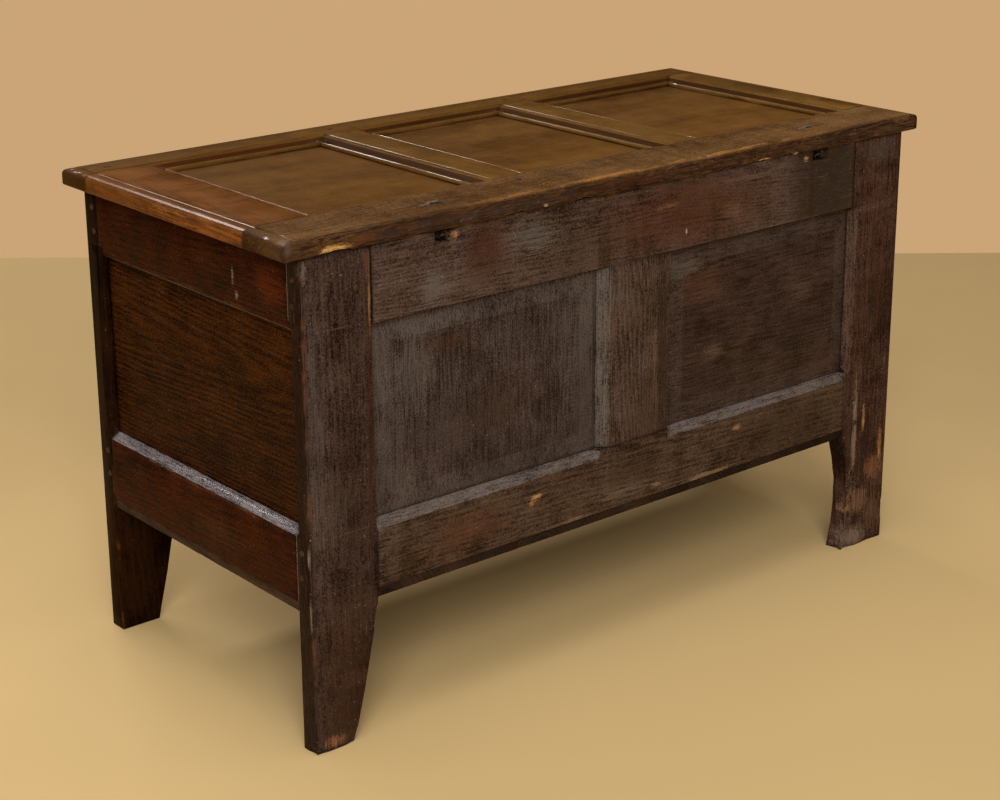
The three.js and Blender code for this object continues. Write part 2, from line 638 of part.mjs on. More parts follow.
function lidRail(end) {
  const back = end === "back";
  const [outer, arris] = back ? [LID_BACK_Y, LID_BACK_ARRIS] : [LID_FRONT_Y, LID_FRONT_ARRIS];
  const sight = back ? arris - LID_MOULDING_WIDTH : arris + LID_MOULDING_WIDTH;
  const teeth = LID_ARRISES.flatMap(([u0, u1], i) => [
    point(u0, arris),
    point(LID_OPENINGS[i].u0, sight),
    point(LID_OPENINGS[i].u1, sight),
    point(u1, arris),
  ]);
  const corners = [
    point(-LID_HALF_LENGTH, arris),
    ...teeth,
    point(LID_HALF_LENGTH, arris),
    point(LID_HALF_LENGTH, outer),
    point(-LID_HALF_LENGTH, outer),
  ];
  const blank = slab(LID_TOP, corners, -LID_THICKNESS, 0).intersect(LID_ENVELOPE);
  const mortises = Object.values(LID_CROSS_PIECES).map((piece) => lidTenon(piece, end, JOINT_GAP));
  const holes = lidEnds().map((piece) => lidPegHole(piece, end));
  const hinges = back ? HINGES.flatMap((hinge) => upperEyeCuts(hinge)) : [];
  return cut(blank, [...LID_CUTS, ...mortises, ...holes, ...hinges]);
}

function lidCrossPiece(piece, pegged) {
  const front = LID_FRONT_ARRIS + JOINT_GAP;
  const back = LID_BACK_ARRIS - JOINT_GAP;
  const { mouldLeft, mouldRight } = piece;
  const left = mouldLeft
    ? [
        point(piece.u0 - mouldLeft, back - mouldLeft),
        point(piece.u0 - mouldLeft, front + mouldLeft),
      ]
    : [];
  const right = mouldRight
    ? [
        point(piece.u1 + mouldRight, front + mouldRight),
        point(piece.u1 + mouldRight, back - mouldRight),
      ]
    : [];
  const corners = [
    point(piece.u0, front),
    point(piece.u1, front),
    ...right,
    point(piece.u1, back),
    point(piece.u0, back),
    ...left,
  ];
  const blank = cut(slab(LID_TOP, corners, -LID_THICKNESS, 0).intersect(LID_ENVELOPE), LID_CUTS);
  const tenons = ["front", "back"].map((end) => lidTenon(piece, end, 0));
  const holes = pegged ? ["front", "back"].map((end) => lidPegHole(piece, end)) : [];
  return cut(join(blank, tenons), holes);
}

// Each hinge is two linked eyes of iron wire. The lower one's legs run down through the back top
// rail and are clenched inside, and the upper one's run up through the lid and are clenched on top.
const HINGES = [
  { name: "left", x: -HALF_LENGTH + HINGE_FROM_LEFT_END },
  { name: "right", x: HALF_LENGTH - HINGE_FROM_RIGHT_END },
];
const HINGE_Y = HALF_DEPTH - HINGE_SETBACK;
const HINGE_Z = CARCASE_HEIGHT - HINGE_DROP;
const WIRE_RADIUS = HINGE_WIRE / 2;
const LEG_OFFSET = (HINGE_WIRE + JOINT_GAP) / 2;
const LID_UNDERSIDE = CARCASE_HEIGHT + JOINT_GAP;
const CLENCH_Z = LID_UNDERSIDE + LID_THICKNESS + WIRE_RADIUS - CLENCH_SINK;

class Arc extends THREE.Curve {
  constructor(centre, along, beside, radius, from, to) {
    super();
    Object.assign(this, { centre, along, beside, radius, from, to });
  }

  getPoint(share) {
    const angle = this.from + (this.to - this.from) * share;
    const out = this.along.clone().multiplyScalar(this.radius * Math.cos(angle));
    const over = this.beside.clone().multiplyScalar(this.radius * Math.sin(angle));
    return out.add(over).add(this.centre);
  }
}

// One wire: from a clenched tip, down a leg, round the eye, and back up the other leg. Where the
// eye stands on edge the legs differ by the skew, so that both tips lie level.
function wireEye(centre, along, beside, legLength, skew) {
  const half = Math.asin(LEG_OFFSET / HINGE_EYE_RADIUS);
  const neck = HINGE_EYE_RADIUS * Math.cos(half);
  const place = (a, b, c = 0) =>
    centre
      .clone()
      .addScaledVector(along, a)
      .addScaledVector(beside, b)
      .addScaledVector(X, c);
  const leg = (sign) => {
    const reach = legLength - sign * skew;
    const tip = place(reach, sign * LEG_OFFSET, sign * HINGE_CLENCH);
    const turn = place(reach, sign * LEG_OFFSET, sign * HINGE_WIRE);
    const corner = place(reach, sign * LEG_OFFSET);
    const straight = place(reach - HINGE_WIRE, sign * LEG_OFFSET);
    return [tip, turn, corner, straight, place(neck, sign * LEG_OFFSET)];
  };
  const [tipA, turnA, cornerA, straightA, neckA] = leg(1);
  const [tipB, turnB, cornerB, straightB, neckB] = leg(-1);
  const path = new THREE.CurvePath();
  path.add(new THREE.LineCurve3(tipA, turnA));
  path.add(new THREE.QuadraticBezierCurve3(turnA, cornerA, straightA));
  path.add(new THREE.LineCurve3(straightA, neckA));
  path.add(new Arc(centre, along, beside, HINGE_EYE_RADIUS, half, 2 * Math.PI - half));
  path.add(new THREE.LineCurve3(neckB, straightB));
  path.add(new THREE.QuadraticBezierCurve3(straightB, cornerB, turnB));
  path.add(new THREE.LineCurve3(turnB, tipB));
  const ring = new THREE.EllipseCurve(0, 0, WIRE_RADIUS, WIRE_RADIUS).getPoints(WIRE_SIDES).slice(0, -1);
  const wire = new THREE.ExtrudeGeometry(new THREE.Shape(ring), { steps: WIRE_STEPS, extrudePath: path });
  return solidOf(wire, PLAIN);
}

const DOWN = new THREE.Vector3(0, -Math.cos(HINGE_SLOPE), -Math.sin(HINGE_SLOPE));
const UP = new THREE.Vector3(0, -Math.cos(HINGE_SLOPE), Math.sin(HINGE_SLOPE));
const UP_SIDE = new THREE.Vector3(0, Math.sin(HINGE_SLOPE), Math.cos(HINGE_SLOPE));

function lowerEye(hinge) {
  const apart = 2 * HINGE_EYE_RADIUS - HINGE_WIRE - HINGE_SLACK;
  const centre = new THREE.Vector3(hinge.x, HINGE_Y, HINGE_Z).addScaledVector(DOWN, apart);
  const inside = HALF_DEPTH - RAIL_THICKNESS - WIRE_RADIUS - JOINT_GAP;
  const length = (centre.y - inside) / Math.cos(HINGE_SLOPE);
  return wireEye(centre, DOWN, X, length, 0);
}

function upperEye(hinge) {
  const centre = new THREE.Vector3(hinge.x, HINGE_Y, HINGE_Z);
  const length = (CLENCH_Z - HINGE_Z) / Math.sin(HINGE_SLOPE);
  return wireEye(centre, UP, UP_SIDE, length, LEG_OFFSET / Math.tan(HINGE_SLOPE));
}

// A slanting hole for two legs side by side, and in the lid a sunk seat for their clenched tips.
function slantedBore(x, y, z, direction, length) {
  const bar = new THREE.CylinderGeometry(HINGE_BORE_RADIUS, HINGE_BORE_RADIUS, length, BORE_SIDES);
  const turn = new THREE.Quaternion().setFromUnitVectors(Y, direction);
  const middle = new THREE.Vector3(x, y, z).addScaledVector(direction, length / 2);
  bar.applyMatrix4(new THREE.Matrix4().makeRotationFromQuaternion(turn).setPosition(middle));
  return solidOf(bar, PLAIN);
}

function hingeCuts(hinge) {
  const half = HINGE_NOTCH_WIDTH / 2;
  const across = [hinge.x - half, hinge.x + half];
  const depth = [HALF_DEPTH - HINGE_NOTCH_DEPTH, HALF_DEPTH + OVERRUN];
  const height = [CARCASE_HEIGHT - HINGE_NOTCH_HEIGHT, CARCASE_HEIGHT + OVERRUN];
  const length = RAIL_THICKNESS / Math.cos(HINGE_SLOPE) + OVERRUN;
  const legs = slantedBore(hinge.x, HINGE_Y, HINGE_Z, DOWN, length);
  return [block(PLAIN, across, depth, height), legs];
}

function upperEyeCuts(hinge) {
  const z = HINGE_Z - LID_UNDERSIDE;
  const length = (LID_THICKNESS - z + OVERRUN) / Math.sin(HINGE_SLOPE);
  const exit = HINGE_Y - (CLENCH_Z - HINGE_Z) / Math.tan(HINGE_SLOPE);
  const half = HINGE_CLENCH + JOINT_GAP;
  const wide = WIRE_RADIUS + JOINT_GAP;
  const apart = LEG_OFFSET / Math.sin(HINGE_SLOPE);
  const seatZ = [LID_THICKNESS - CLENCH_SINK - JOINT_GAP, LID_THICKNESS + OVERRUN];
  const seatX = [hinge.x - half, hinge.x + half];
  const seatY = [exit - apart - wide, exit + apart + wide];
  const seat = block(PLAIN, seatX, seatY, seatZ);
  return [slantedBore(hinge.x, HINGE_Y, z, UP, length), seat];
}

// Finishes: old waxed oak, redder on the end of the lid, greyer on the rough back, and rusted iron.
const FINISHES = {
  lidTop: { color: 0x6b4a26, roughness: 0.45, metalness: 0 },
  lidEnd: { color: 0x74462a, roughness: 0.45, metalness: 0 },
  back: { color: 0x3f322a, roughness: 0.7, metalness: 0 },
  frame: { color: 0x3a2216, roughness: 0.5, metalness: 0 },
  panel: { color: 0x41271a, roughness: 0.55, metalness: 0 },
  floor: { color: 0x5a4530, roughness: 0.8, metalness: 0 },
  peg: { color: 0x4a3422, roughness: 0.6, metalness: 0 },
  iron: { color: 0x2b2622, roughness: 0.6, metalness: 0.8 },
};

function meshOf(name, solid, finish) {
  const { vertProperties, triVerts, numProp, numVert } = solid.getMesh();
  const position = new Float32Array(numVert * 3);
  for (let i = 0; i < numVert; i += 1) {
    position.set(vertProperties.subarray(i * numProp, i * numProp + 3), i * 3);
  }
  const geometry = new THREE.BufferGeometry();
  geometry.setAttribute("position", new THREE.BufferAttribute(position, 3));
  geometry.setIndex(new THREE.BufferAttribute(triVerts, 1));
  geometry.computeVertexNormals();
  const mesh = new THREE.Mesh(geometry, new THREE.MeshStandardMaterial(FINISHES[finish]));
  mesh.name = name;
  return mesh;
}

// A riven peg, a tapered eight-sided pin, placed with its head just proud of the face.
function pegMesh(name, frame, u, v, length) {
  const pin = new THREE.CylinderGeometry(PEG_RADIUS, PEG_TIP_RADIUS, length, PEG_SIDES);
  pin.rotateX(Math.PI / 2);
  const mesh = new THREE.Mesh(pin, new THREE.MeshStandardMaterial(FINISHES.peg));
  const outward = new THREE.Vector3().setFromMatrixColumn(frame, 2);
  mesh.quaternion.setFromUnitVectors(Z, outward);
  mesh.position.set(u, v, PEG_PROUD - length / 2).applyMatrix4(frame);
  mesh.name = name;
  return mesh;
}

function addLongFaces(carcase) {
  for (const face of [FRONT_FACE, BACK_FACE]) {
    for (const side of SIDES) {
      const [sideName, sign] = side;
      const finish = face === BACK_FACE ? "back" : "frame";
      carcase.add(meshOf(`${face.name}_${sideName}_stile`, stile(face, side), finish));
      for (const [level, rail] of [["bottom", face.bottom], ["top", face.top]]) {
        const u = sign * (INNER_EDGE + RAIL_PEG_SETBACK);
        const name = `${face.name}_${sideName}_${level}_peg`;
        carcase.add(pegMesh(name, face.frame, u, middleOf(rail), PEG_LENGTH));
      }
    }
  }
  const [lower, upper] = [FRONT_FACE.bottom, FRONT_FACE.top];
  const frontBottom = longRail(FRONT_FACE, lower, FRONT_MUNTINS, "lower", FRONT_CUTS);
  carcase.add(meshOf("front_bottom_rail", frontBottom.subtract(floorHousing()), "frame"));
  const frontTop = longRail(FRONT_FACE, upper, FRONT_MUNTINS, "upper", FRONT_CUTS);
  carcase.add(meshOf("front_top_rail", frontTop, "frame"));
  for (const muntin of FRONT_MUNTINS) {
    const solid = muntinSolid(FRONT_FACE, muntin, FRONT_CUTS);
    carcase.add(meshOf(`front_${muntin.name}_muntin`, solid, "frame"));
  }
  const backCutsWithHinges = [...BACK_CUTS, ...HINGES.flatMap((hinge) => hingeCuts(hinge))];
  const backBottom = longRail(BACK_FACE, BACK_FACE.bottom, [BACK_MUNTIN], "lower", BACK_CUTS);
  const backTop = longRail(BACK_FACE, BACK_FACE.top, [BACK_MUNTIN], "upper", backCutsWithHinges);
  carcase.add(meshOf("back_bottom_rail", backBottom, "back"));
  carcase.add(meshOf("back_top_rail", backTop, "back"));
  carcase.add(meshOf("back_muntin", muntinSolid(BACK_FACE, BACK_MUNTIN, BACK_CUTS), "back"));
}

function addPanels(carcase) {
  for (const [name, opening] of Object.entries(FRONT_OPENINGS)) {
    const panel = panelSolid(FRONT, opening, FRONT_RECESS, PANEL_THICKNESS, false);
    carcase.add(meshOf(`front_${name}_panel`, panel, "panel"));
  }
  for (const [name, opening] of Object.entries(BACK_OPENINGS)) {
    const panel = panelSolid(BACK, opening, BACK_RECESS, PANEL_THICKNESS, true);
    carcase.add(meshOf(`back_${name}_panel`, panel, "back"));
  }
}

function addEnds(carcase) {
  for (const [name, frame] of [["left", LEFT_END], ["right", RIGHT_END]]) {
    carcase.add(meshOf(`${name}_end_bottom_rail`, endRail(frame, END_BOTTOM, END_CUTS[name]), "frame"));
    carcase.add(meshOf(`${name}_end_top_rail`, endRail(frame, END_TOP, END_CUTS[name]), "frame"));
    const panel = panelSolid(frame, END_OPENING, FRONT_RECESS, PANEL_THICKNESS, false);
    carcase.add(meshOf(`${name}_end_panel`, panel, "panel"));
    for (const [level, rail] of [["bottom", END_BOTTOM], ["top", END_TOP]]) {
      for (const face of [FRONT_FACE, BACK_FACE]) {
        const u = face.sign * (END_EDGE + END_PEG_SETBACK);
        const pegName = `${name}_end_${face.name}_${level}_peg`;
        carcase.add(pegMesh(pegName, frame, u, rail[1] - END_PEG_DROP, PEG_LENGTH));
      }
    }
  }
}

function addFloorAndHinges(carcase) {
  for (let i = 0; i <= FLOOR_JOINT_SHARES.length; i += 1) {
    carcase.add(meshOf(`floor_board_${i + 1}`, floorBoard(i), "floor"));
  }
  for (const hinge of HINGES) {
    carcase.add(meshOf(`${hinge.name}_hinge_lower_eye`, lowerEye(hinge), "iron"));
    carcase.add(meshOf(`${hinge.name}_hinge_upper_eye`, upperEye(hinge), "iron"));
  }
}

function buildLid() {
  const lid = new THREE.Group();
  lid.add(meshOf("lid_front_rail", lidRail("front"), "lidTop"));
  lid.add(meshOf("lid_back_rail", lidRail("back"), "lidTop"));
  for (const [name, piece] of Object.entries(LID_CROSS_PIECES)) {
    const pegged = lidEnds().includes(piece);
    lid.add(meshOf(name, lidCrossPiece(piece, pegged), pegged ? "lidEnd" : "lidTop"));
  }
  ["left", "middle", "right"].forEach((name, i) => {
    const panel = panelSolid(LID_TOP, LID_OPENINGS[i], LID_RECESS, LID_PANEL_THICKNESS, false);
    lid.add(meshOf(`lid_${name}_panel`, panel, "lidTop"));
  });
  for (const [name] of SIDES) {
    for (const end of ["front", "back"]) {
      const { u, v } = lidPegPlace(LID_CROSS_PIECES[`lid_${name}_end`], end);
      lid.add(pegMesh(`lid_${name}_${end}_peg`, LID_TOP, u, v, LID_PEG_LENGTH));
    }
  }
  lid.position.z = LID_UNDERSIDE;
  return lid;
}

// The lid is centred front to back on the origin, so the carcase stands a little behind it.
function buildCoffer() {
  const coffer = new THREE.Group();
  addLongFaces(coffer);
  addPanels(coffer);
  addEnds(coffer);
  addFloorAndHinges(coffer);
  coffer.add(buildLid());
  coffer.position.y = -(LID_FRONT_Y + LID_BACK_Y) / 2;
  return coffer;
}

const group = new THREE.Group();
group.add(buildCoffer());

export default group;
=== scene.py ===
import math
import random

import bmesh
import bpy
from mathutils import Matrix, Vector, noise


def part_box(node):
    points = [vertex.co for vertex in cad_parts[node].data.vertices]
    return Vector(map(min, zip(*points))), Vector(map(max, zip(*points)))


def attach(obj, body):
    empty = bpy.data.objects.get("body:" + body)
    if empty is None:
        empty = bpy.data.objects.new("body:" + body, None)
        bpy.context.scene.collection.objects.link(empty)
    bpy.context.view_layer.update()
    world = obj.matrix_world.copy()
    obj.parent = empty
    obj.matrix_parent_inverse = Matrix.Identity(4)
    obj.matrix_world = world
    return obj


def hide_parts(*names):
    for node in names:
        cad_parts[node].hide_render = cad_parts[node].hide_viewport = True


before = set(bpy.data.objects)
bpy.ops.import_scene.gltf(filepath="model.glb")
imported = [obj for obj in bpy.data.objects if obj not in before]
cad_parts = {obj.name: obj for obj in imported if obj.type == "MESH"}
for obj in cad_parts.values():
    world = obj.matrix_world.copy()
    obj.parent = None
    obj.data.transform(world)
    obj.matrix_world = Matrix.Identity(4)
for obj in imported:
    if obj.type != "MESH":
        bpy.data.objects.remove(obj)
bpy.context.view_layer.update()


# Camera
# It stands behind the chest's right end and looks down on the lid from a little above it.
camera = bpy.data.objects.new("camera", bpy.data.cameras.new("camera"))
bpy.context.collection.objects.link(camera)
bpy.context.scene.camera = camera
camera.data.lens = 74.1
camera.data.sensor_width = 36
camera.data.shift_y = -0.06
azimuth, elevation, roll = math.radians(140.07), math.radians(17.75), math.radians(-0.3)
back = Vector((
    math.sin(azimuth) * math.cos(elevation),
    -math.cos(azimuth) * math.cos(elevation),
    math.sin(elevation),
))
level = Vector((0, 0, 1)).cross(back).normalized()
upright = back.cross(level)
across_view = level * math.cos(roll) + upright * math.sin(roll)
up_view = upright * math.cos(roll) - level * math.sin(roll)
pose = Matrix((across_view, up_view, back)).transposed().to_4x4()
camera_place = (1.9184, 2.2609, 1.3397)
pose.translation = camera_place
camera.matrix_world = pose


# Floor and light
# A plain pale sand floor, with painted shade that makes it a little darker further off in place of
# light falling away, with one broad soft lamp high beside the camera, one overhead, and a low strip
# on the far side that lights the mouldings of the lid.
class Shade:
    """A shader socket. Python's operators on it add Math nodes, and make adds any other node."""

    def __init__(self, tree, socket):
        self.tree = tree
        self.socket = socket

    @staticmethod
    def make(tree, kind, settings, inputs, output=0):
        node = tree.nodes.new(kind)
        for name, value in settings.items():
            if name == "stops":
                ramp = node.color_ramp.elements
                while len(ramp) < len(value):
                    ramp.new(0.5)
                for stop, (position, colour) in zip(ramp, value):
                    stop.position = position
                    stop.color = (*colour, 1)
            else:
                setattr(node, name, value)
        for name, value in inputs.items():
            if isinstance(value, Shade):
                tree.links.new(value.socket, node.inputs[name])
            else:
                node.inputs[name].default_value = value
        return Shade(tree, node.outputs[output])

    def maths(self, operation, *others, first=None):
        values = [self, *others] if first is None else [first, self]
        inputs = dict(enumerate(values))
        return Shade.make(self.tree, "ShaderNodeMath", {"operation": operation}, inputs)

    def __add__(self, other):
        return self.maths("ADD", other)

    def __radd__(self, other):
        return self.maths("ADD", first=other)

    def __sub__(self, other):
        return self.maths("SUBTRACT", other)

    def __rsub__(self, other):
        return self.maths("SUBTRACT", first=other)

    def __mul__(self, other):
        return self.maths("MULTIPLY", other)

    def __rmul__(self, other):
        return self.maths("MULTIPLY", first=other)

    def __pow__(self, other):
        return self.maths("POWER", other)

    def __abs__(self):
        return self.maths("ABSOLUTE")

    def smallest(self, other):
        return self.maths("MINIMUM", other)

    def largest(self, other):
        return self.maths("MAXIMUM", other)

    def ease(self, low, high):
        """0 below low and 1 above high, with a soft step between. It falls if low is over high."""
        if low > high:
            return 1 - self.ease(high, low)
        settings = {"interpolation_type": "SMOOTHSTEP"}
        inputs = {"Value": self, "From Min": low, "From Max": high, "To Min": 0.0, "To Max": 1.0}
        return Shade.make(self.tree, "ShaderNodeMapRange", settings, inputs)

    def parts(self):
        split = Shade.make(self.tree, "ShaderNodeSeparateXYZ", {}, {"Vector": self})
        return [Shade(self.tree, socket) for socket in split.socket.node.outputs]

    def times(self, scale):
        settings = {"operation": "MULTIPLY"}
        return Shade.make(self.tree, "ShaderNodeVectorMath", settings, {0: self, 1: scale})

    def plus(self, offset):
        settings = {"operation": "ADD"}
        return Shade.make(self.tree, "ShaderNodeVectorMath", settings, {0: self, 1: offset})

    def length(self):
        settings = {"operation": "LENGTH"}
        return Shade.make(self.tree, "ShaderNodeVectorMath", settings, {0: self}, 1)

    def noise(self, scale, detail=2.0, rough=0.5):
        """Noise about 0, roughly from -1 to 1, at that many features a metre on each axis."""
        inputs = {"Vector": self.times(scale), "Scale": 1.0, "Detail": detail, "Roughness": rough}
        return (Shade.make(self.tree, "ShaderNodeTexNoise", {}, inputs) - 0.5) * 3.2

    def blend(self, colour, amount, how="MIX"):
        """This colour with another laid over it by that amount."""
        settings = {"data_type": "RGBA", "blend_type": how, "clamp_factor": True}
        top = colour if isinstance(colour, Shade) else (*colour, 1)
        return Shade.make(self.tree, "ShaderNodeMix", settings, {0: amount, 6: self, 7: top}, 2)


def new_material(name):
    material = bpy.data.materials.new(name)
    material.use_nodes = True
    tree = material.node_tree
    shader = tree.nodes["Principled BSDF"]
    place = Shade.make(tree, "ShaderNodeTexCoord", {}, {}, 3)
    return material, tree, shader, place


def ramp_of(tree, stops, amount):
    """A colour picked by amount from a ramp of (position, colour) stops."""
    return Shade.make(tree, "ShaderNodeValToRGB", {"stops": stops}, {"Fac": amount})


def plug(tree, shader, name, value):
    tree.links.new(value.socket, shader.inputs[name])


def wire_bump(tree, shader, height, strength, distance):
    inputs = {"Height": height, "Strength": strength, "Distance": distance}
    plug(tree, shader, "Normal", Shade.make(tree, "ShaderNodeBump", {}, inputs))


floor_sand = (0.513, 0.366, 0.169)
floor_size = 24
floor_beyond = 1.9
far_fade, near_fade = 1.1, -0.5
material, tree, shader, place = new_material("floor_sand")
middle_of_floor = floor_size - floor_beyond
# Painted shade: the sand is lighter in front of the chest and darker beyond it, in place of light
# falling off.
painted_falloff = place.parts()[1].ease(middle_of_floor + far_fade, middle_of_floor + near_fade)
tone = place.noise((3, 3, 3)) * 0.06 + painted_falloff * 0.88 + 0.06
darker, lighter = (tuple(share * part for part in floor_sand) for share in (0.80, 1.20))
plug(tree, shader, "Base Color", ramp_of(tree, [(0.0, darker), (1.0, lighter)], tone))
shader.inputs["Roughness"].default_value = 0.9
shader.inputs["Specular IOR Level"].default_value = 0.1
shape = bmesh.new()
bmesh.ops.create_grid(shape, x_segments=2, y_segments=2, size=floor_size)
floor_mesh = bpy.data.meshes.new("floor")
shape.to_mesh(floor_mesh)
shape.free()
floor = bpy.data.objects.new("floor", floor_mesh)
bpy.context.collection.objects.link(floor)
floor_mesh.materials.append(material)
floor.rotation_euler = (0, 0, azimuth)
floor.location = (math.sin(azimuth) * middle_of_floor, -math.cos(azimuth) * middle_of_floor, 0)


lamp_target = Vector((0, 0, 0.4))


def soft_lamp(name, place, size, watts, colour):
    lamp = bpy.data.lights.new(name, "AREA")
    lamp.shape = "RECTANGLE"
    lamp.size, lamp.size_y = size
    lamp.energy = watts
    lamp.color = colour
    holder = bpy.data.objects.new(name, lamp)
    bpy.context.collection.objects.link(holder)
    holder.location = place
    holder.rotation_euler = (lamp_target - Vector(place)).to_track_quat("-Z", "Y").to_euler()


soft_white = (1.0, 0.99, 0.98)
soft_lamp("key_lamp", (4.7, 5.7, 5.1), (4.0, 4.0), 530, soft_white)
soft_lamp("top_lamp", (1.5, 1.5, 9.0), (5.0, 5.0), 290, soft_white)
soft_lamp("strip_lamp", (-0.15, -3.3, 3.1), (1.8, 0.5), 55, (1.0, 0.95, 0.96))

world = bpy.data.worlds.new("room")
bpy.context.scene.world = world
world.use_nodes = True
room = world.node_tree
seen = Shade.make(room, "ShaderNodeLightPath", {}, {}, 0)
mirrored = Shade.make(room, "ShaderNodeLightPath", {}, {}, 3)
glow_of_room = (0.33, 0.285, 0.23, 1)
room_in_polish = (0.10, 0.075, 0.05)
backdrop = (0.595, 0.376, 0.188)
room_tint = Shade.make(room, "ShaderNodeRGB", {}, {})
room_tint.socket.default_value = glow_of_room
room_colour = room_tint.blend(room_in_polish, mirrored).blend(backdrop, seen)
room.links.new(room_colour.socket, room.nodes["Background"].inputs["Color"])
room.nodes["Background"].inputs["Strength"].default_value = 1.0
bpy.context.scene.view_settings.view_transform = "Standard"


# Stiles
# Four upright oak boards, mortised for the rails, which run down as the legs. The feet are drawn
# in on their inner edges, and the back ones are scratched, grey and worn along their arrises.
axes_of = {"x": (0, 2, 1), "y": (1, 2, 0), "z": (2, 0, 1), "flat_x": (0, 1, 2), "flat_y": (1, 0, 2)}
merge_distance, cut_distance = 1e-5, 1e-6
flat_angle, arris_angle, smooth_angle = math.radians(1), math.radians(32), math.radians(50)
shortest_arris = 0.012
large_face = 6e-5
square_on = 0.9999
chip_reach, chip_cuts = 1.7, 3


def worn_copy(node, arris, wobble, cut_axis, step, chips):
    """A merged copy of a node, with its arrises rounded, cut into short lengths and rubbed away.

    Each chip is a bite out of it: where its middle is, its radius and its depth.
    """
    shape = bmesh.new()
    shape.from_mesh(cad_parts[node].data)
    bmesh.ops.remove_doubles(shape, verts=shape.verts, dist=merge_distance)
    bmesh.ops.dissolve_limit(
        shape, angle_limit=flat_angle, verts=shape.verts, edges=shape.edges,
    )
    sharp = [
        edge for edge in shape.edges
        if len(edge.link_faces) == 2 and edge.is_convex
        and edge.calc_face_angle(0) > arris_angle and edge.calc_length() > shortest_arris
    ]
    rounded = bmesh.ops.bevel(
        shape, geom=sharp, offset=arris, offset_type="OFFSET", segments=3, profile=0.5,
        affect="EDGES", clamp_overlap=True, material=-1,
    )
    for face in rounded["faces"]:
        face.smooth = True
    low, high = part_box(node)
    cuts = int((high[cut_axis] - low[cut_axis]) / step)
    normal = Vector((0, 0, 0))
    normal[cut_axis] = 1
    for index in range(1, cuts):
        spot = Vector(low)
        spot[cut_axis] = low[cut_axis] + (high[cut_axis] - low[cut_axis]) * index / cuts
        whole = shape.verts[:] + shape.edges[:] + shape.faces[:]
        bmesh.ops.bisect_plane(shape, geom=whole, dist=cut_distance, plane_co=spot, plane_no=normal)
    for spot, radius, _ in chips:
        near = [
            face for face in shape.faces
            if (face.calc_center_median() - Vector(spot)).length < radius * chip_reach
        ]
        parts = list({part for face in near for part in (face, *face.edges, *face.verts)})
        for axis in range(3):
            normal = Vector((0, 0, 0))
            normal[axis] = 1
            for index in range(-chip_cuts, chip_cuts + 1):
                here = Vector(spot) + normal * (radius * index / chip_cuts)
                cut = bmesh.ops.bisect_plane(
                    shape, geom=parts, dist=cut_distance, plane_co=here, plane_no=normal,
                )
                parts = cut["geom"]
    bmesh.ops.triangulate(shape, faces=[face for face in shape.faces if len(face.verts) > 4])
    shape.normal_update()
    moves = []
    for vert in shape.verts:
        rub = noise.noise(vert.co * 28) + 0.6 * noise.noise(vert.co * 90)
        shift = vert.normal * (-wobble * max(0.0, 0.35 + rub))
        for face in vert.link_faces:
            if face.calc_area() > large_face or max(map(abs, face.normal)) > square_on:
                shift -= face.normal * shift.dot(face.normal)
        for spot, radius, deep in chips:
            reach = (vert.co - Vector(spot)).length / radius
            if reach < 1:
                bite = deep * (1 - reach * reach) * (1 + 0.7 * noise.noise(vert.co * 120))
                shift -= vert.normal * bite
        moves.append((vert, vert.co + shift))
    for vert, spot in moves:
        vert.co = spot
    return shape


def gap_to(opening, spot):
    """How far a spot on the lid lies outside an opening for a panel."""
    x0, x1, y0, y1 = opening
    return math.hypot(max(x0 - spot.x, spot.x - x1, 0), max(y0 - spot.y, spot.y - y1, 0))


def board(
    node, body, material, grain, seed,
    ends=0.0, arris=0.0012, wobble=0.0004, step=0.03, chips=(), openings=(),
):
    """A board in place of its node, which keeps its grain and half sizes as attributes."""
    along, across, through = axes_of[grain]
    shape = worn_copy(node, arris, wobble, along, step, chips)
    mesh = bpy.data.meshes.new("worn_" + node)
    shape.to_mesh(mesh)
    shape.free()
    low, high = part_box(node)
    middle, half = (low + high) / 2, (high - low) / 2
    for name in ("grain", "half", "shift"):
        mesh.attributes.new(name, "FLOAT_VECTOR", "POINT")
    mesh.attributes.new("facing", "FLOAT_VECTOR", "FACE")
    mesh.attributes.new("moulded", "FLOAT", "FACE")
    points = [vert.co - middle for vert in mesh.vertices]
    faces = [polygon.center for polygon in mesh.polygons]
    outside = [min((gap_to(opening, spot) for opening in openings), default=0) for spot in faces]
    kept = {
        "grain": [spot[axis] for spot in points for axis in (along, across, through)],
        "half": [half[along] - ends, half[across], half[through]] * len(points),
        "shift": [1.37 * seed, 0.73 * seed, 0.31 * seed] * len(points),
        "facing": [part for polygon in mesh.polygons for part in polygon.normal],
    }
    for name, values in kept.items():
        mesh.attributes[name].data.foreach_set("vector", values)
    mesh.attributes["moulded"].data.foreach_set("value", outside)
    mesh.set_sharp_from_angle(angle=smooth_angle)
    mesh.materials.append(material)
    piece = bpy.data.objects.new("worn_" + node, mesh)
    bpy.context.collection.objects.link(piece)
    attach(piece, body)
    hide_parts(node)


def kept_on_mesh(tree, name, output=1):
    """What board kept on the mesh by that name: a vector at output 1, a number at output 2."""
    return Shade.make(tree, "ShaderNodeAttribute", {"attribute_name": name}, {}, output)


def turned(tree, place, angle):
    """The place turned about a leaning axis, for marks that run across the grain."""
    settings = {"Vector": place, "Axis": (0.3, 1, 0.5), "Angle": angle}
    return Shade.make(tree, "ShaderNodeVectorRotate", {}, settings)


pore_brown = (0.22, 0.17, 0.15)
hollow_brown = (0.30, 0.22, 0.16)
joint_brown = (0.2, 0.15, 0.12)
fleck_grey = (0.36, 0.31, 0.27)
quirk_from, quirk_to = (0.0062, 0.0068), (0.0232, 0.0225)


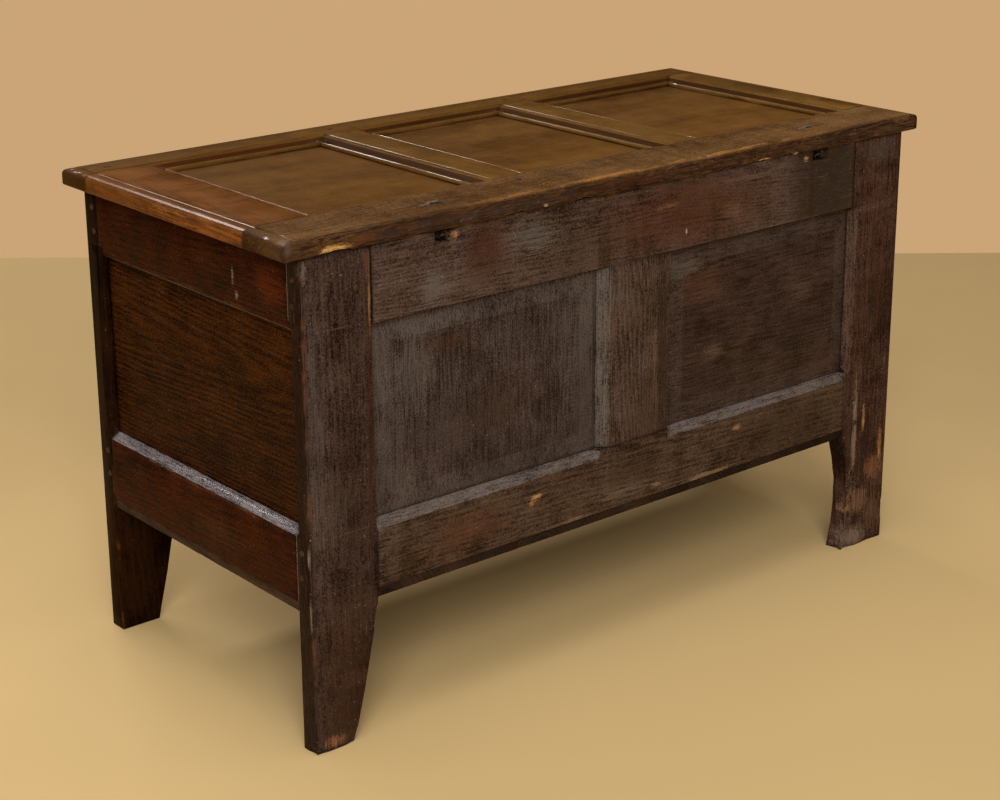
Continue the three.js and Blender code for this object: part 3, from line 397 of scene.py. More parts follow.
def oak(
    name, dark, light, ring=0.15, ring_gap=0.007, taper=0.045, heart=0.05, sway=1.0,
    fibre=0.3, broad=0.3, patchy=0.3, gritty=0.22,
    worn=(0.3, 0.14, 0.05), worn_width=0.004, worn_amount=0.5,
    haze_and_sheen=(0.16, 0.13, 0.11), haze_and_sheen_amount=0.0, scratches=0.0, flecks=0.0, grime=0.6,
    slope_highlight=(0.2, 0.17, 0.15), slope_highlight_amount=0.0, face=1, tilt=(0.995, 0.93),
    polish=0.0, hollow=0.0, gloss=0.45, shine=0.12, relief=0.5, spots=(),
):
    """Old oak: growth rings cut by the board's face, open fibre, rubbed arrises and scratches,
    with a grey haze that is partly painted sheen and a painted highlight on faces sloping up.

    Each spot is a ragged patch of another colour, some stains and wear, some painted shade and
    painted highlights: its middle, its radii, its colour and how much.
    """
    material, tree, shader, place = new_material(name)
    grain, half, shift = (kept_on_mesh(tree, kept) for kept in ("grain", "half", "shift"))
    own = grain.plus(shift)
    along, across, through = grain.parts()
    wander = own.noise((1.6, 7, 7)) * (0.012 * sway) + own.noise((6, 26, 26)) * (0.0025 * sway)
    from_heart = ((across - heart) ** 2 + 0.0012) ** 0.5
    growth = from_heart + along * taper + wander + through * 0.6
    threads = own.noise((24, 420, 420), 3.0, 0.65)
    rings = (growth * (2 * math.pi / ring_gap)).maths("SINE") * (own.noise((2, 20, 20)) * 0.5 + 0.7)
    pores = own.noise((60, 800, 800), 1.0)
    cloud = own.noise((2.4, 12, 12), 3.0)
    patch = place.noise((19, 19, 19), 4.0, 0.65)
    grit = place.noise((380, 380, 380), 2.0, 0.65)
    mixed = rings * ring + threads * fibre + cloud * broad + patch * patchy + grit * gritty
    tone = 0.47 + mixed * 1.5
    colour = ramp_of(tree, [(0.0, dark), (1.0, light)], tone)
    open_pores = (pores + threads * 0.6).ease(0.6, 1.5) * min(1.0, 2 * fibre)
    colour = colour.blend(pore_brown, open_pores, "MULTIPLY")
    if haze_and_sheen_amount:
        # A grey haze: partly a dry weathered surface and partly painted sheen.
        haze_and_sheen_mask = patch * 0.6 + cloud * 0.35 + threads * 0.7 + pores * 0.35 + grit * 0.3
        colour = colour.blend(haze_and_sheen, haze_and_sheen_mask.ease(-0.5, 1.7) * haze_and_sheen_amount)
    for centre, radii, spot_colour, amount in spots:
        offset = place.plus(tuple(-c for c in centre)).times(tuple(1 / r for r in radii))
        ragged = 1.5 - offset.length() * 1.5 + patch * 0.3 + threads * 0.45
        ragged = ragged + pores * 0.3 + grit * 0.4
        grained = threads * 0.5 + pores * 0.3 + rings * 0.15 + 0.8
        colour = colour.blend(spot_colour, ragged.ease(0.0, 1.2) * grained * amount)
    if slope_highlight_amount or polish:
        ways = kept_on_mesh(tree, "facing").parts()
        lean = abs(ways[face])
        sloped = lean.ease(*tilt) * lean.ease(0.2, 0.5)
        streaks = (threads * 0.4 + patch * 0.4 + pores * 0.5 + grit * 0.6 + 0.6).ease(-0.3, 1.4)
        # Painted highlight: faces that slope up, and not down, are blended towards a pale colour in
        # place of light from above.
        painted_slope_light = sloped * ways[2].ease(-0.4, -0.15) * streaks
        colour = colour.blend(slope_highlight, painted_slope_light * slope_highlight_amount)
        moulded = kept_on_mesh(tree, "moulded", 2)
        sunk = sloped * moulded.ease(*quirk_from) * moulded.ease(*quirk_to) * hollow
        colour = colour.blend(hollow_brown, sunk, "MULTIPLY")
        plug(tree, shader, "Coat Weight", (sloped - sunk) * polish)
        shader.inputs["Coat Roughness"].default_value = 0.22
    if scratches:
        leaned = turned(tree, own, 0.7).noise((14, 460, 14), 1.0).ease(0.95, 1.3)
        tipped = turned(tree, own, -0.95).noise((18, 18, 560), 1.0).ease(1.0, 1.3)
        colour = colour.blend(haze_and_sheen, leaned.largest(tipped) * scratches)
        # The bright hair lines are fine scratches that are partly painted glints off the fibre.
        hairs = own.noise((36, 650, 650), 1.0).ease(0.5, 1.1) * patch.ease(-0.9, 0.5)
        colour = colour.blend(tuple(1.5 * part for part in haze_and_sheen), hairs * (1.6 * scratches))
    if flecks:
        dots = place.noise((330, 330, 330), 1.0).ease(0.74, 0.92) * patch.ease(-0.5, 0.4)
        colour = colour.blend(fleck_grey, dots * flecks)
    from_middle = Shade.make(tree, "ShaderNodeVectorMath", {"operation": "ABSOLUTE"}, {0: grain})
    to_end, to_edge, to_face = half.plus(from_middle.times((-1, -1, -1))).parts()
    to_arris = to_end.smallest(to_edge).largest(to_end.largest(to_edge).smallest(to_face))
    patches = place.noise((13, 13, 13), 3.0, 0.75)
    at_arris = (to_arris - patches * 0.0025 + threads * 0.0012).ease(worn_width, 0.0)
    rubbed = at_arris * patches.ease(0.1, 0.9)
    colour = colour.blend(worn, rubbed * worn_amount)
    colour = colour.blend(joint_brown, to_end.ease(0.007, 0.0) * grime, "MULTIPLY")
    plug(tree, shader, "Base Color", colour)
    roughness = gloss + threads * 0.06 + patch * 0.07 + rubbed * 0.1
    plug(tree, shader, "Roughness", roughness.largest(0.12))
    shader.inputs["Specular IOR Level"].default_value = shine
    height = threads * 0.5 + rings * (0.5 * ring) + pores * 0.3 + patch * 0.9 + grit * 0.35
    wire_bump(tree, shader, height, min(1.0, 0.6 * relief), 0.001)
    return material


near_stile_oak = oak(
    "near_stile_oak", (0.0096, 0.0031, 0.0021), (0.072, 0.041, 0.029), ring=0.08, fibre=0.28,
    broad=0.12, gritty=0.46, worn=(0.20, 0.075, 0.028), worn_width=0.005, worn_amount=0.5,
    haze_and_sheen=(0.08, 0.062, 0.058), haze_and_sheen_amount=0.4, scratches=0.5, flecks=0.6, gloss=0.5, shine=0.06,
    relief=0.9, slope_highlight=(0.101, 0.081, 0.072), slope_highlight_amount=0.5,
    spots=[
        ((0.51, 0.265, 0.10), (0.07, 0.03, 0.16), (0.050, 0.021, 0.008), 0.6),
        ((0.55, 0.265, 0.45), (0.02, 0.03, 0.20), (0.085, 0.072, 0.065), 0.4),
        ((0.50, 0.265, 0.34), (0.03, 0.03, 0.14), (0.035, 0.017, 0.011), 0.5),
        # Painted shade: the stile's narrow outer face is darkened nearly to black over its whole
        # height.
        ((0.5675, 0.25, 0.35), (0.010, 0.06, 0.8), (0.013, 0.0035, 0.0008), 1.8),
        ((0.5635, 0.262, 0.28), (0.003, 0.004, 0.02), (0.30, 0.24, 0.18), 0.7),
        ((0.5635, 0.262, 0.20), (0.003, 0.004, 0.03), (0.30, 0.22, 0.15), 0.6),
        ((0.464, 0.265, 0.42), (0.007, 0.02, 0.3), (0.045, 0.014, 0.006), 0.7),
        ((0.4608, 0.265, 0.60), (0.0022, 0.02, 0.05), (0.30, 0.13, 0.045), 0.8),
        ((0.4625, 0.265, 0.655), (0.008, 0.02, 0.025), (0.15, 0.07, 0.035), 0.6),
        ((0.5585, 0.265, 0.658), (0.006, 0.02, 0.022), (0.22, 0.18, 0.15), 0.6),
        ((0.512, 0.265, 0.5765), (0.056, 0.02, 0.0008), (0.13, 0.105, 0.09), 0.5),
        ((0.512, 0.265, 0.3), (0.056, 0.02, 0.0008), (0.12, 0.095, 0.08), 0.45),
        ((0.512, 0.265, 0.225), (0.056, 0.02, 0.0008), (0.12, 0.095, 0.08), 0.4),
        ((0.53, 0.265, 0.34), (0.05, 0.02, 0.07), (0.085, 0.060, 0.045), 0.45),
        ((0.51, 0.265, 0.04), (0.06, 0.04, 0.04), (0.06, 0.026, 0.012), 0.5),
        ((0.536, 0.265, 0.012), (0.02, 0.03, 0.012), (0.30, 0.13, 0.05), 0.6),
    ],
)
far_stile_oak = oak(
    "far_stile_oak", (0.0108, 0.0028, 0.0017), (0.08, 0.037, 0.023), ring=0.08, fibre=0.32,
    broad=0.12, gritty=0.4, worn=(0.20, 0.075, 0.028), worn_width=0.005, worn_amount=0.5,
    haze_and_sheen=(0.089, 0.057, 0.045), haze_and_sheen_amount=0.4, scratches=0.5, flecks=0.6, gloss=0.5, shine=0.06,
    relief=0.9, slope_highlight=(0.114, 0.074, 0.055), slope_highlight_amount=0.7,
    spots=[
        ((-0.500, 0.265, 0.50), (0.006, 0.02, 0.12), (0.10, 0.045, 0.024), 0.5),
        ((-0.530, 0.265, 0.46), (0.008, 0.02, 0.14), (0.07, 0.026, 0.013), 0.5),
        ((-0.506, 0.265, 0.215), (0.005, 0.02, 0.03), (0.46, 0.21, 0.07), 0.9),
        # Painted shade: a near-black patch on the inner edge of the leg above the foot.
        ((-0.458, 0.255, 0.13), (0.022, 0.04, 0.09), (0.009, 0.004, 0.002), 1.6),
        ((-0.486, 0.265, 0.20), (0.008, 0.02, 0.12), (0.19, 0.13, 0.09), 1.0),
        ((-0.550, 0.265, 0.165), (0.006, 0.02, 0.035), (0.40, 0.18, 0.06), 1.2),
        ((-0.512, 0.265, 0.16), (0.014, 0.02, 0.05), (0.018, 0.008, 0.005), 0.9),
        ((-0.535, 0.265, 0.13), (0.025, 0.02, 0.03), (0.20, 0.09, 0.04), 0.7),
        ((-0.50, 0.265, 0.075), (0.035, 0.03, 0.03), (0.20, 0.11, 0.06), 0.8),
        ((-0.49, 0.265, 0.015), (0.05, 0.04, 0.03), (0.17, 0.12, 0.085), 1.0),
        ((-0.472, 0.265, 0.066), (0.018, 0.03, 0.012), (0.34, 0.18, 0.08), 1.1),
        ((-0.466, 0.265, 0.035), (0.008, 0.03, 0.018), (0.30, 0.25, 0.20), 0.9),
        ((-0.500, 0.265, 0.045), (0.010, 0.03, 0.018), (0.020, 0.011, 0.007), 1.0),
        ((-0.54, 0.265, 0.05), (0.03, 0.03, 0.05), (0.13, 0.07, 0.04), 0.6),
        ((-0.51, 0.265, 0.655), (0.05, 0.02, 0.03), (0.07, 0.058, 0.048), 0.5),
    ],
)
frame_oak = oak(
    "frame_oak", (0.0034, 0.0009, 0.0002), (0.028, 0.0094, 0.0019), ring=0.1,
    worn=(0.30, 0.11, 0.03), worn_amount=0.6, gloss=0.45, shine=0.03, relief=0.5, flecks=0.25,
)
right_foot_wear = [
    ((0.563, 0.265, 0.0), 0.02, 0.0025),
    ((0.492, 0.265, 0.0), 0.025, 0.003),
    ((0.563, 0.264, 0.12), 0.03, 0.001),
    ((0.463, 0.264, 0.17), 0.02, 0.002),
]
left_foot_wear = [
    ((-0.472, 0.264, 0.012), 0.03, 0.006),
    ((-0.470, 0.264, 0.062), 0.026, 0.005),
    ((-0.5, 0.266, 0.04), 0.03, 0.003),
    ((-0.475, 0.262, 0.115), 0.03, 0.005),
    ((-0.53, 0.266, 0.02), 0.03, 0.003),
    ((-0.563, 0.262, 0.05), 0.02, 0.002),
]
board(
    "back_right_stile", "carcase", near_stile_oak, "z", 1,
    arris=0.002, wobble=0.0011, step=0.012, chips=right_foot_wear,
)
board(
    "back_left_stile", "carcase", far_stile_oak, "z", 2,
    arris=0.0025, wobble=0.0016, step=0.01, chips=left_foot_wear,
)
for side, seed in (("right", 3), ("left", 4)):
    board(
        f"front_{side}_stile", "carcase", frame_oak, "z", seed,
        arris=0.002, wobble=0.0008, step=0.02,
    )


# Back rails and muntin
# Rough sawn and hewn oak, tenoned and pegged, never polished, with coarse chamfers by the panels.
# The top rail has a notch for each hinge and a redder patch, and the bottom rail is chipped below.
back_top_oak = oak(
    "back_top_oak", (0.0158, 0.007, 0.004), (0.103, 0.06, 0.042), ring=0.16, ring_gap=0.0052,
    fibre=0.36, broad=0.15, gritty=0.46, sway=1.5, haze_and_sheen=(0.097, 0.081, 0.074), haze_and_sheen_amount=0.45,
    scratches=0.35, flecks=0.4, gloss=0.5, shine=0.12, worn=(0.24, 0.12, 0.05), relief=1.2,
    slope_highlight=(0.119, 0.111, 0.097), slope_highlight_amount=0.85,
    spots=[
        ((-0.10, 0.265, 0.625), (0.21, 0.1, 0.07), (0.075, 0.024, 0.010), 0.8),
        # Painted shade: near-black lines in the joints where the rail meets the stiles.
        ((0.4575, 0.265, 0.61), (0.003, 0.02, 0.09), (0.006, 0.003, 0.002), 1.2),
        ((-0.4575, 0.265, 0.61), (0.003, 0.02, 0.09), (0.006, 0.003, 0.002), 1.1),
        ((0.10, 0.265, 0.60), (0.05, 0.02, 0.05), (0.07, 0.045, 0.030), 0.5),
        ((0.36, 0.265, 0.60), (0.035, 0.02, 0.03), (0.115, 0.098, 0.085), 0.7),
        ((0.27, 0.265, 0.635), (0.05, 0.02, 0.05), (0.060, 0.018, 0.009), 0.8),
        ((0.19, 0.265, 0.64), (0.06, 0.02, 0.03), (0.110, 0.095, 0.084), 0.7),
        ((-0.062, 0.265, 0.638), (0.030, 0.05, 0.006), (0.19, 0.09, 0.045), 0.6),
        ((-0.19, 0.265, 0.61), (0.035, 0.05, 0.016), (0.16, 0.085, 0.045), 0.5),
        ((-0.098, 0.265, 0.595), (0.002, 0.05, 0.006), (0.45, 0.38, 0.30), 0.8),
        ((-0.23, 0.265, 0.655), (0.09, 0.05, 0.006), (0.16, 0.10, 0.065), 0.4),
        ((-0.40, 0.265, 0.62), (0.11, 0.05, 0.2), (0.028, 0.016, 0.010), 1.1),
        ((0.325, 0.262, 0.664), (0.010, 0.02, 0.008), (0.45, 0.20, 0.07), 0.9),
        ((-0.345, 0.262, 0.664), (0.008, 0.02, 0.006), (0.45, 0.22, 0.08), 0.9),
        ((-0.04, 0.265, 0.42), (0.006, 0.02, 0.075), (0.17, 0.09, 0.045), 0.5),
        ((-0.045, 0.265, 0.36), (0.004, 0.02, 0.05), (0.16, 0.09, 0.05), 0.4),
        ((0.0, 0.265, 0.50), (0.05, 0.02, 0.03), (0.10, 0.06, 0.04), 0.4),
        ((-0.055, 0.265, 0.42), (0.012, 0.02, 0.18), (0.030, 0.013, 0.008), 0.7),
        ((-0.02, 0.265, 0.33), (0.04, 0.02, 0.05), (0.045, 0.020, 0.012), 0.5),
        ((0.03, 0.265, 0.52), (0.05, 0.02, 0.03), (0.09, 0.07, 0.055), 0.5),
    ],
)
back_rail_oak = oak(
    "back_rail_oak", (0.0117, 0.0042, 0.002), (0.098, 0.054, 0.029), ring=0.14, fibre=0.36,
    broad=0.18, gritty=0.42, haze_and_sheen=(0.087, 0.073, 0.064), haze_and_sheen_amount=0.4, scratches=0.25,
    flecks=0.4, gloss=0.5, shine=0.12, worn=(0.2, 0.12, 0.08), relief=1.1,
    slope_highlight=(0.143, 0.127, 0.118), slope_highlight_amount=0.85,
    spots=[
        ((0.184, 0.265, 0.265), (0.013, 0.03, 0.006), (0.48, 0.25, 0.10), 0.9),
        ((0.192, 0.265, 0.258), (0.006, 0.03, 0.008), (0.34, 0.17, 0.07), 0.8),
        # Painted shade: a near-black line in the joint where the rail meets the stile.
        ((0.4575, 0.265, 0.25), (0.003, 0.02, 0.07), (0.006, 0.003, 0.002), 1.1),
        ((-0.213, 0.265, 0.272), (0.012, 0.03, 0.006), (0.36, 0.18, 0.07), 0.85),
        ((-0.046, 0.265, 0.224), (0.012, 0.03, 0.006), (0.26, 0.19, 0.13), 0.7),
        ((0.30, 0.265, 0.25), (0.08, 0.03, 0.035), (0.085, 0.030, 0.013), 0.7),
        ((0.0, 0.265, 0.26), (0.10, 0.03, 0.025), (0.040, 0.022, 0.014), 0.5),
        ((0.02, 0.265, 0.23), (0.06, 0.03, 0.012), (0.12, 0.09, 0.065), 0.6),
        ((-0.33, 0.265, 0.25), (0.15, 0.03, 0.05), (0.030, 0.014, 0.007), 0.5),
        ((-0.16, 0.265, 0.213), (0.06, 0.03, 0.006), (0.30, 0.18, 0.10), 0.6),
        ((0.13, 0.265, 0.213), (0.05, 0.03, 0.005), (0.24, 0.14, 0.08), 0.6),
    ],
)
rail_tenon, muntin_tenon = 0.05, 0.035
board(
    "back_top_rail", "carcase", back_top_oak, "x", 5,
    ends=rail_tenon, arris=0.0014, wobble=0.0008, step=0.012,
)
board(
    "back_bottom_rail", "carcase", back_rail_oak, "x", 6,
    ends=rail_tenon, arris=0.002, wobble=0.0016, step=0.01,
)
board(
    "back_muntin", "carcase", back_top_oak, "z", 7,
    ends=muntin_tenon, arris=0.0016, wobble=0.0012, step=0.012,
)


# Front rails and muntins
# Planed and waxed oak, moulded along the edges of the panels. The rails are tenoned into the
# stiles and the two muntins into the rails.
for level, seed in (("top", 8), ("bottom", 9)):
    board(f"front_{level}_rail", "carcase", frame_oak, "x", seed, ends=rail_tenon)
for side, seed in (("left", 10), ("right", 11)):
    board(f"front_{side}_muntin", "carcase", frame_oak, "z", seed, ends=muntin_tenon)


# End rails
# The same waxed oak, dark red-brown, tenoned into the stiles, with a hollow moulding over the panel
# that carries a painted olive highlight, and a plain chamfer under it that catches the lamp in its
# polish over a painted pale highlight.
end_oak = oak(
    "end_oak", (0.0042, 0.001, 0.0002), (0.063, 0.0119, 0.0012), ring=0.08, fibre=0.38, broad=0.2,
    gritty=0.5, worn=(0.2, 0.08, 0.03), worn_amount=0.5, gloss=0.45, shine=0.03, relief=0.5,
    flecks=0.5, face=0, polish=1.0, slope_highlight=(0.33, 0.305, 0.32), slope_highlight_amount=0.85,
    tilt=(0.9, 0.8),
    spots=[
        ((0.565, 0.19, 0.625), (0.02, 0.05, 0.035), (0.11, 0.022, 0.004), 0.55),
        ((0.565, 0.05, 0.63), (0.02, 0.06, 0.03), (0.06, 0.018, 0.004), 0.4),
        ((0.563, 0.112, 0.622), (0.01, 0.0035, 0.016), (0.20, 0.17, 0.14), 0.8),
        ((0.563, 0.120, 0.597), (0.01, 0.004, 0.006), (0.24, 0.20, 0.17), 0.8),
        # Painted highlight: an olive band along the hollow moulding of the top rail.
        ((0.552, 0.0, 0.581), (0.012, 0.26, 0.009), (0.075, 0.047, 0.014), 0.75),
        ((0.565, 0.0, 0.30), (0.004, 0.26, 0.004), (0.12, 0.06, 0.03), 0.5),
        ((0.565, 0.05, 0.25), (0.02, 0.08, 0.03), (0.07, 0.028, 0.006), 0.4),
    ],
)
end_tenon = 0.02
for side, side_seed in (("right", 12), ("left", 13)):
    for level, seed in (("top", side_seed), ("bottom", side_seed + 0.4)):
        node = f"{side}_end_{level}_rail"
        board(node, "carcase", end_oak, "y", seed, ends=end_tenon)


# Panels
# Thin riven boards let into the grooves. The back ones are left rough, one with its grain upright
# and one with it level, and the front and end ones are planed and waxed.
back_panel_oak = oak(
    "back_panel_oak", (0.0115, 0.0056, 0.0043), (0.079, 0.051, 0.043), ring=0.09, ring_gap=0.0055,
    taper=0.9, heart=-0.15, fibre=0.42, broad=0.1, gritty=0.5, haze_and_sheen=(0.093, 0.078, 0.078),
    haze_and_sheen_amount=0.45, scratches=0.4, flecks=0.6, gloss=0.5, shine=0.12, relief=1.2,
    worn_amount=0.1, slope_highlight=(0.105, 0.09, 0.08), slope_highlight_amount=0.42, tilt=(0.9995, 0.992),
    spots=[
        # Grey patches at the top by the stile: greyed wood, partly painted sheen.
        ((0.39, 0.253, 0.49), (0.05, 0.05, 0.08), (0.105, 0.092, 0.078), 0.4),
        ((0.36, 0.253, 0.555), (0.11, 0.05, 0.02), (0.11, 0.095, 0.082), 0.4),
        ((0.10, 0.253, 0.50), (0.06, 0.05, 0.10), (0.10, 0.088, 0.075), 0.3),
        ((0.33, 0.253, 0.52), (0.06, 0.05, 0.02), (0.060, 0.022, 0.010), 0.5),
        ((0.25, 0.253, 0.42), (0.08, 0.05, 0.05), (0.060, 0.030, 0.018), 0.4),
        ((0.44, 0.253, 0.38), (0.025, 0.05, 0.09), (0.040, 0.026, 0.020), 0.5),
        ((0.40, 0.253, 0.34), (0.02, 0.05, 0.03), (0.10, 0.088, 0.075), 0.4),
        ((0.31, 0.253, 0.400), (0.11, 0.05, 0.05), (0.034, 0.021, 0.016), 0.45),
        ((0.22, 0.253, 0.330), (0.14, 0.05, 0.03), (0.030, 0.018, 0.014), 0.45),
        # Painted shade: dark strips along the panel's edges by the stile, the muntin and the bottom
        # rail, and a near-black line in the crack by the muntin.
        ((0.455, 0.253, 0.45), (0.010, 0.05, 0.13), (0.028, 0.018, 0.014), 0.6),
        ((0.085, 0.253, 0.38), (0.030, 0.05, 0.12), (0.045, 0.027, 0.020), 0.7),
        ((0.25, 0.253, 0.305), (0.16, 0.05, 0.022), (0.045, 0.026, 0.018), 0.7),
        ((0.0685, 0.253, 0.43), (0.0035, 0.05, 0.16), (0.007, 0.004, 0.003), 1.2),
    ],
)
smooth_panel_oak = oak(
    "smooth_panel_oak", (0.009, 0.0032, 0.0018), (0.056, 0.028, 0.0198), ring=0.08,
    ring_gap=0.006, fibre=0.36, broad=0.1, gritty=0.4, haze_and_sheen=(0.071, 0.053, 0.05), haze_and_sheen_amount=0.4,
    scratches=0.3, flecks=0.4, gloss=0.45, shine=0.12, relief=0.7, worn_amount=0.1,
    slope_highlight=(0.08, 0.064, 0.055), slope_highlight_amount=0.35, tilt=(0.9995, 0.992),
    spots=[
        ((-0.14, 0.253, 0.51), (0.06, 0.05, 0.04), (0.085, 0.036, 0.016), 0.5),
        ((-0.17, 0.253, 0.40), (0.03, 0.05, 0.015), (0.12, 0.075, 0.045), 0.5),
        ((-0.36, 0.253, 0.46), (0.03, 0.05, 0.02), (0.10, 0.065, 0.04), 0.4),
        ((-0.10, 0.253, 0.54), (0.05, 0.05, 0.02), (0.10, 0.088, 0.075), 0.5),
        ((-0.40, 0.253, 0.33), (0.10, 0.05, 0.03), (0.045, 0.015, 0.007), 0.5),
    ],
)
panel_oak = oak(
    "panel_oak", (0.006, 0.0012, 0.0001), (0.071, 0.022, 0.0033), ring=0.15, fibre=0.4,
    gloss=0.45, shine=0.03, relief=0.8, worn_amount=0.1, broad=0.15, patchy=0.2, gritty=0.5,
    flecks=0.4,
)
groove = 0.007
board("back_right_panel", "carcase", back_panel_oak, "z", 15, ends=groove)
board("back_left_panel", "carcase", smooth_panel_oak, "x", 16, ends=groove)
for name, grain, seed in (
    ("front_left", "z", 17), ("front_middle", "z", 18), ("front_right", "z", 19),
    ("right_end", "y", 20), ("left_end", "y", 21),
):
    board(f"{name}_panel", "carcase", panel_oak, grain, seed, ends=groove)


# Floor boards
# Five dry unfinished oak boards, laid front to back and nailed up under the rails of the back and
# front, so their ends can be seen below the back bottom rail.
floor_oak = oak(
    "floor_oak", (0.012, 0.006, 0.003), (0.075, 0.040, 0.022), ring=0.12, gloss=0.7, shine=0.1,
    worn=(0.13, 0.07, 0.04), worn_amount=0.4, relief=0.9,
)
for index in range(1, 6):
    board(
        f"floor_board_{index}", "carcase", floor_oak, "flat_y", 22 + index,
        wobble=0.0009,
    )


# Lid frame
# Waxed olive-brown oak, rubbed smooth on top and moulded round the panels. The back edge is dark
# and broken, with fresh golden wood where the arris has splintered away.
lid_oak = oak(
    "lid_oak", (0.067, 0.028, 0.0045), (0.183, 0.092, 0.02), ring=0.06, fibre=0.2, broad=0.25,
    patchy=0.2, gritty=0.2, worn=(0.36, 0.16, 0.04), worn_amount=0.6, gloss=0.6, shine=0.02,
    face=2, polish=0.8, hollow=1.0, relief=0.35,
)
lid_edge_oak = oak(
    "lid_edge_oak", (0.058, 0.024, 0.0066), (0.178, 0.092, 0.032), ring=0.06, fibre=0.22,
    broad=0.25, patchy=0.25, gritty=0.4, worn=(0.30, 0.135, 0.035), worn_amount=0.3,
    worn_width=0.004, gloss=0.6, shine=0.02, face=2, polish=0.5, flecks=0.4, hollow=1.0,
    relief=0.9,
    spots=[
        ((0, 0.279, 0.686), (3, 0.0165, 0.05), (0.024, 0.0115, 0.0075), 1.5),
        ((0.3, 0.2725, 0.686), (0.30, 0.0035, 0.012), (0.070, 0.055, 0.046), 0.35),
        ((-0.35, 0.2725, 0.686), (0.30, 0.0035, 0.012), (0.060, 0.032, 0.020), 0.4),
        ((0.03, 0.267, 0.702), (0.15, 0.008, 0.006), (0.34, 0.155, 0.038), 0.85),
        ((-0.16, 0.268, 0.702), (0.16, 0.007, 0.006), (0.33, 0.155, 0.04), 0.8),
        ((-0.33, 0.269, 0.702), (0.12, 0.006, 0.006), (0.26, 0.12, 0.04), 0.7),
        ((0.22, 0.268, 0.702), (0.12, 0.007, 0.006), (0.26, 0.11, 0.03), 0.8),
        ((0.513, 0.271, 0.6805), (0.03, 0.02, 0.006), (0.66, 0.38, 0.12), 0.95),
        ((0.472, 0.271, 0.687), (0.026, 0.02, 0.008), (0.13, 0.045, 0.018), 0.7),
        ((-0.25, 0.271, 0.6765), (0.016, 0.02, 0.004), (0.66, 0.38, 0.14), 0.95),
        ((0.172, 0.271, 0.6795), (0.005, 0.02, 0.003), (0.50, 0.34, 0.20), 0.8),
        ((-0.316, 0.271, 0.677), (0.006, 0.02, 0.003), (0.50, 0.33, 0.17), 0.8),
        ((0.0, 0.2715, 0.687), (0.12, 0.004, 0.008), (0.060, 0.022, 0.010), 0.6),
        ((0.585, 0.26, 0.69), (0.02, 0.03, 0.02), (0.10, 0.06, 0.04), 0.5),
        # Painted highlight: a pale glint at the lid's back corner over the right end.
        ((0.586, 0.262, 0.699), (0.012, 0.014, 0.008), (0.22, 0.17, 0.13), 0.35),
        ((0.587, 0.272, 0.690), (0.012, 0.006, 0.012), (0.14, 0.10, 0.075), 0.5),
    ],
)
lid_front_oak = oak(
    "lid_front_oak", (0.052, 0.0198, 0.0031), (0.139, 0.066, 0.0137), ring=0.06, fibre=0.2,
    broad=0.25, patchy=0.2, worn=(0.36, 0.16, 0.04), worn_amount=0.5, gloss=0.6, shine=0.02,
    face=2, polish=0.5, hollow=0.7, relief=0.35,
    spots=[
        ((0.36, -0.197, 0.6985), (0.24, 0.011, 0.006), (0.095, 0.022, 0.001), 1.3),
        ((0.0, -0.197, 0.6985), (0.24, 0.011, 0.006), (0.060, 0.017, 0.001), 1.3),
        ((-0.38, -0.197, 0.6985), (0.26, 0.011, 0.006), (0.050, 0.014, 0.002), 1.3),
    ],
)
lid_end_oak = oak(
    "lid_end_oak", (0.066, 0.021, 0.003), (0.182, 0.067, 0.0108), ring=0.06, fibre=0.22,
    broad=0.25, patchy=0.22, worn=(0.36, 0.14, 0.04), worn_amount=0.6, gloss=0.6, shine=0.02,
    face=2, polish=0.4, hollow=1.0, relief=0.5,
    spots=[
        ((0.596, 0.10, 0.684), (0.011, 0.22, 0.03), (0.27, 0.095, 0.024), 0.8),
        ((0.594, -0.12, 0.684), (0.008, 0.10, 0.02), (0.19, 0.07, 0.022), 0.6),
        ((0.594, 0.075, 0.690), (0.007, 0.035, 0.006), (0.030, 0.012, 0.006), 0.8),
        ((0.594, 0.17, 0.678), (0.007, 0.03, 0.006), (0.035, 0.014, 0.007), 0.8),
        ((0.594, -0.03, 0.676), (0.007, 0.04, 0.006), (0.040, 0.016, 0.008), 0.7),
        ((0.594, 0.0, 0.692), (0.007, 0.05, 0.004), (0.36, 0.19, 0.08), 0.5),
    ],
)
lid_openings = []
for name in ("left", "middle", "right"):
    low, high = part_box(f"lid_{name}_panel")
    lid_openings.append((low.x + groove, high.x - groove, low.y + groove, high.y - groove))
dice = random.Random(11)
splinters = [((0.513, 0.272, 0.680), 0.026, 0.004), ((-0.25, 0.272, 0.675), 0.014, 0.003)]
splinter_count = 30
lid_back_edge = 0.271
for index in range(splinter_count):
    spot = (dice.uniform(-0.58, 0.58), lid_back_edge, dice.choice((0.678, 0.699, 0.701)))
    splinters.append((spot, dice.uniform(0.008, 0.02), dice.uniform(0.001, 0.003)))
board(
    "lid_back_rail", "lid", lid_edge_oak, "flat_x", 30,
    arris=0.0015, wobble=0.0014, step=0.01, chips=splinters, openings=lid_openings,
)
board(
    "lid_front_rail", "lid", lid_front_oak, "flat_x", 31,
    step=0.02, openings=lid_openings,
)
lid_tenon = 0.045
board(
    "lid_right_end", "lid", lid_end_oak, "flat_y", 32,
    ends=lid_tenon, wobble=0.0003, step=0.008, openings=lid_openings,
)
for name, seed in (("left_end", 33), ("left_muntin", 34), ("right_muntin", 35)):
    board(
        f"lid_{name}", "lid", lid_oak, "flat_y", seed,
        ends=lid_tenon, openings=lid_openings,
    )


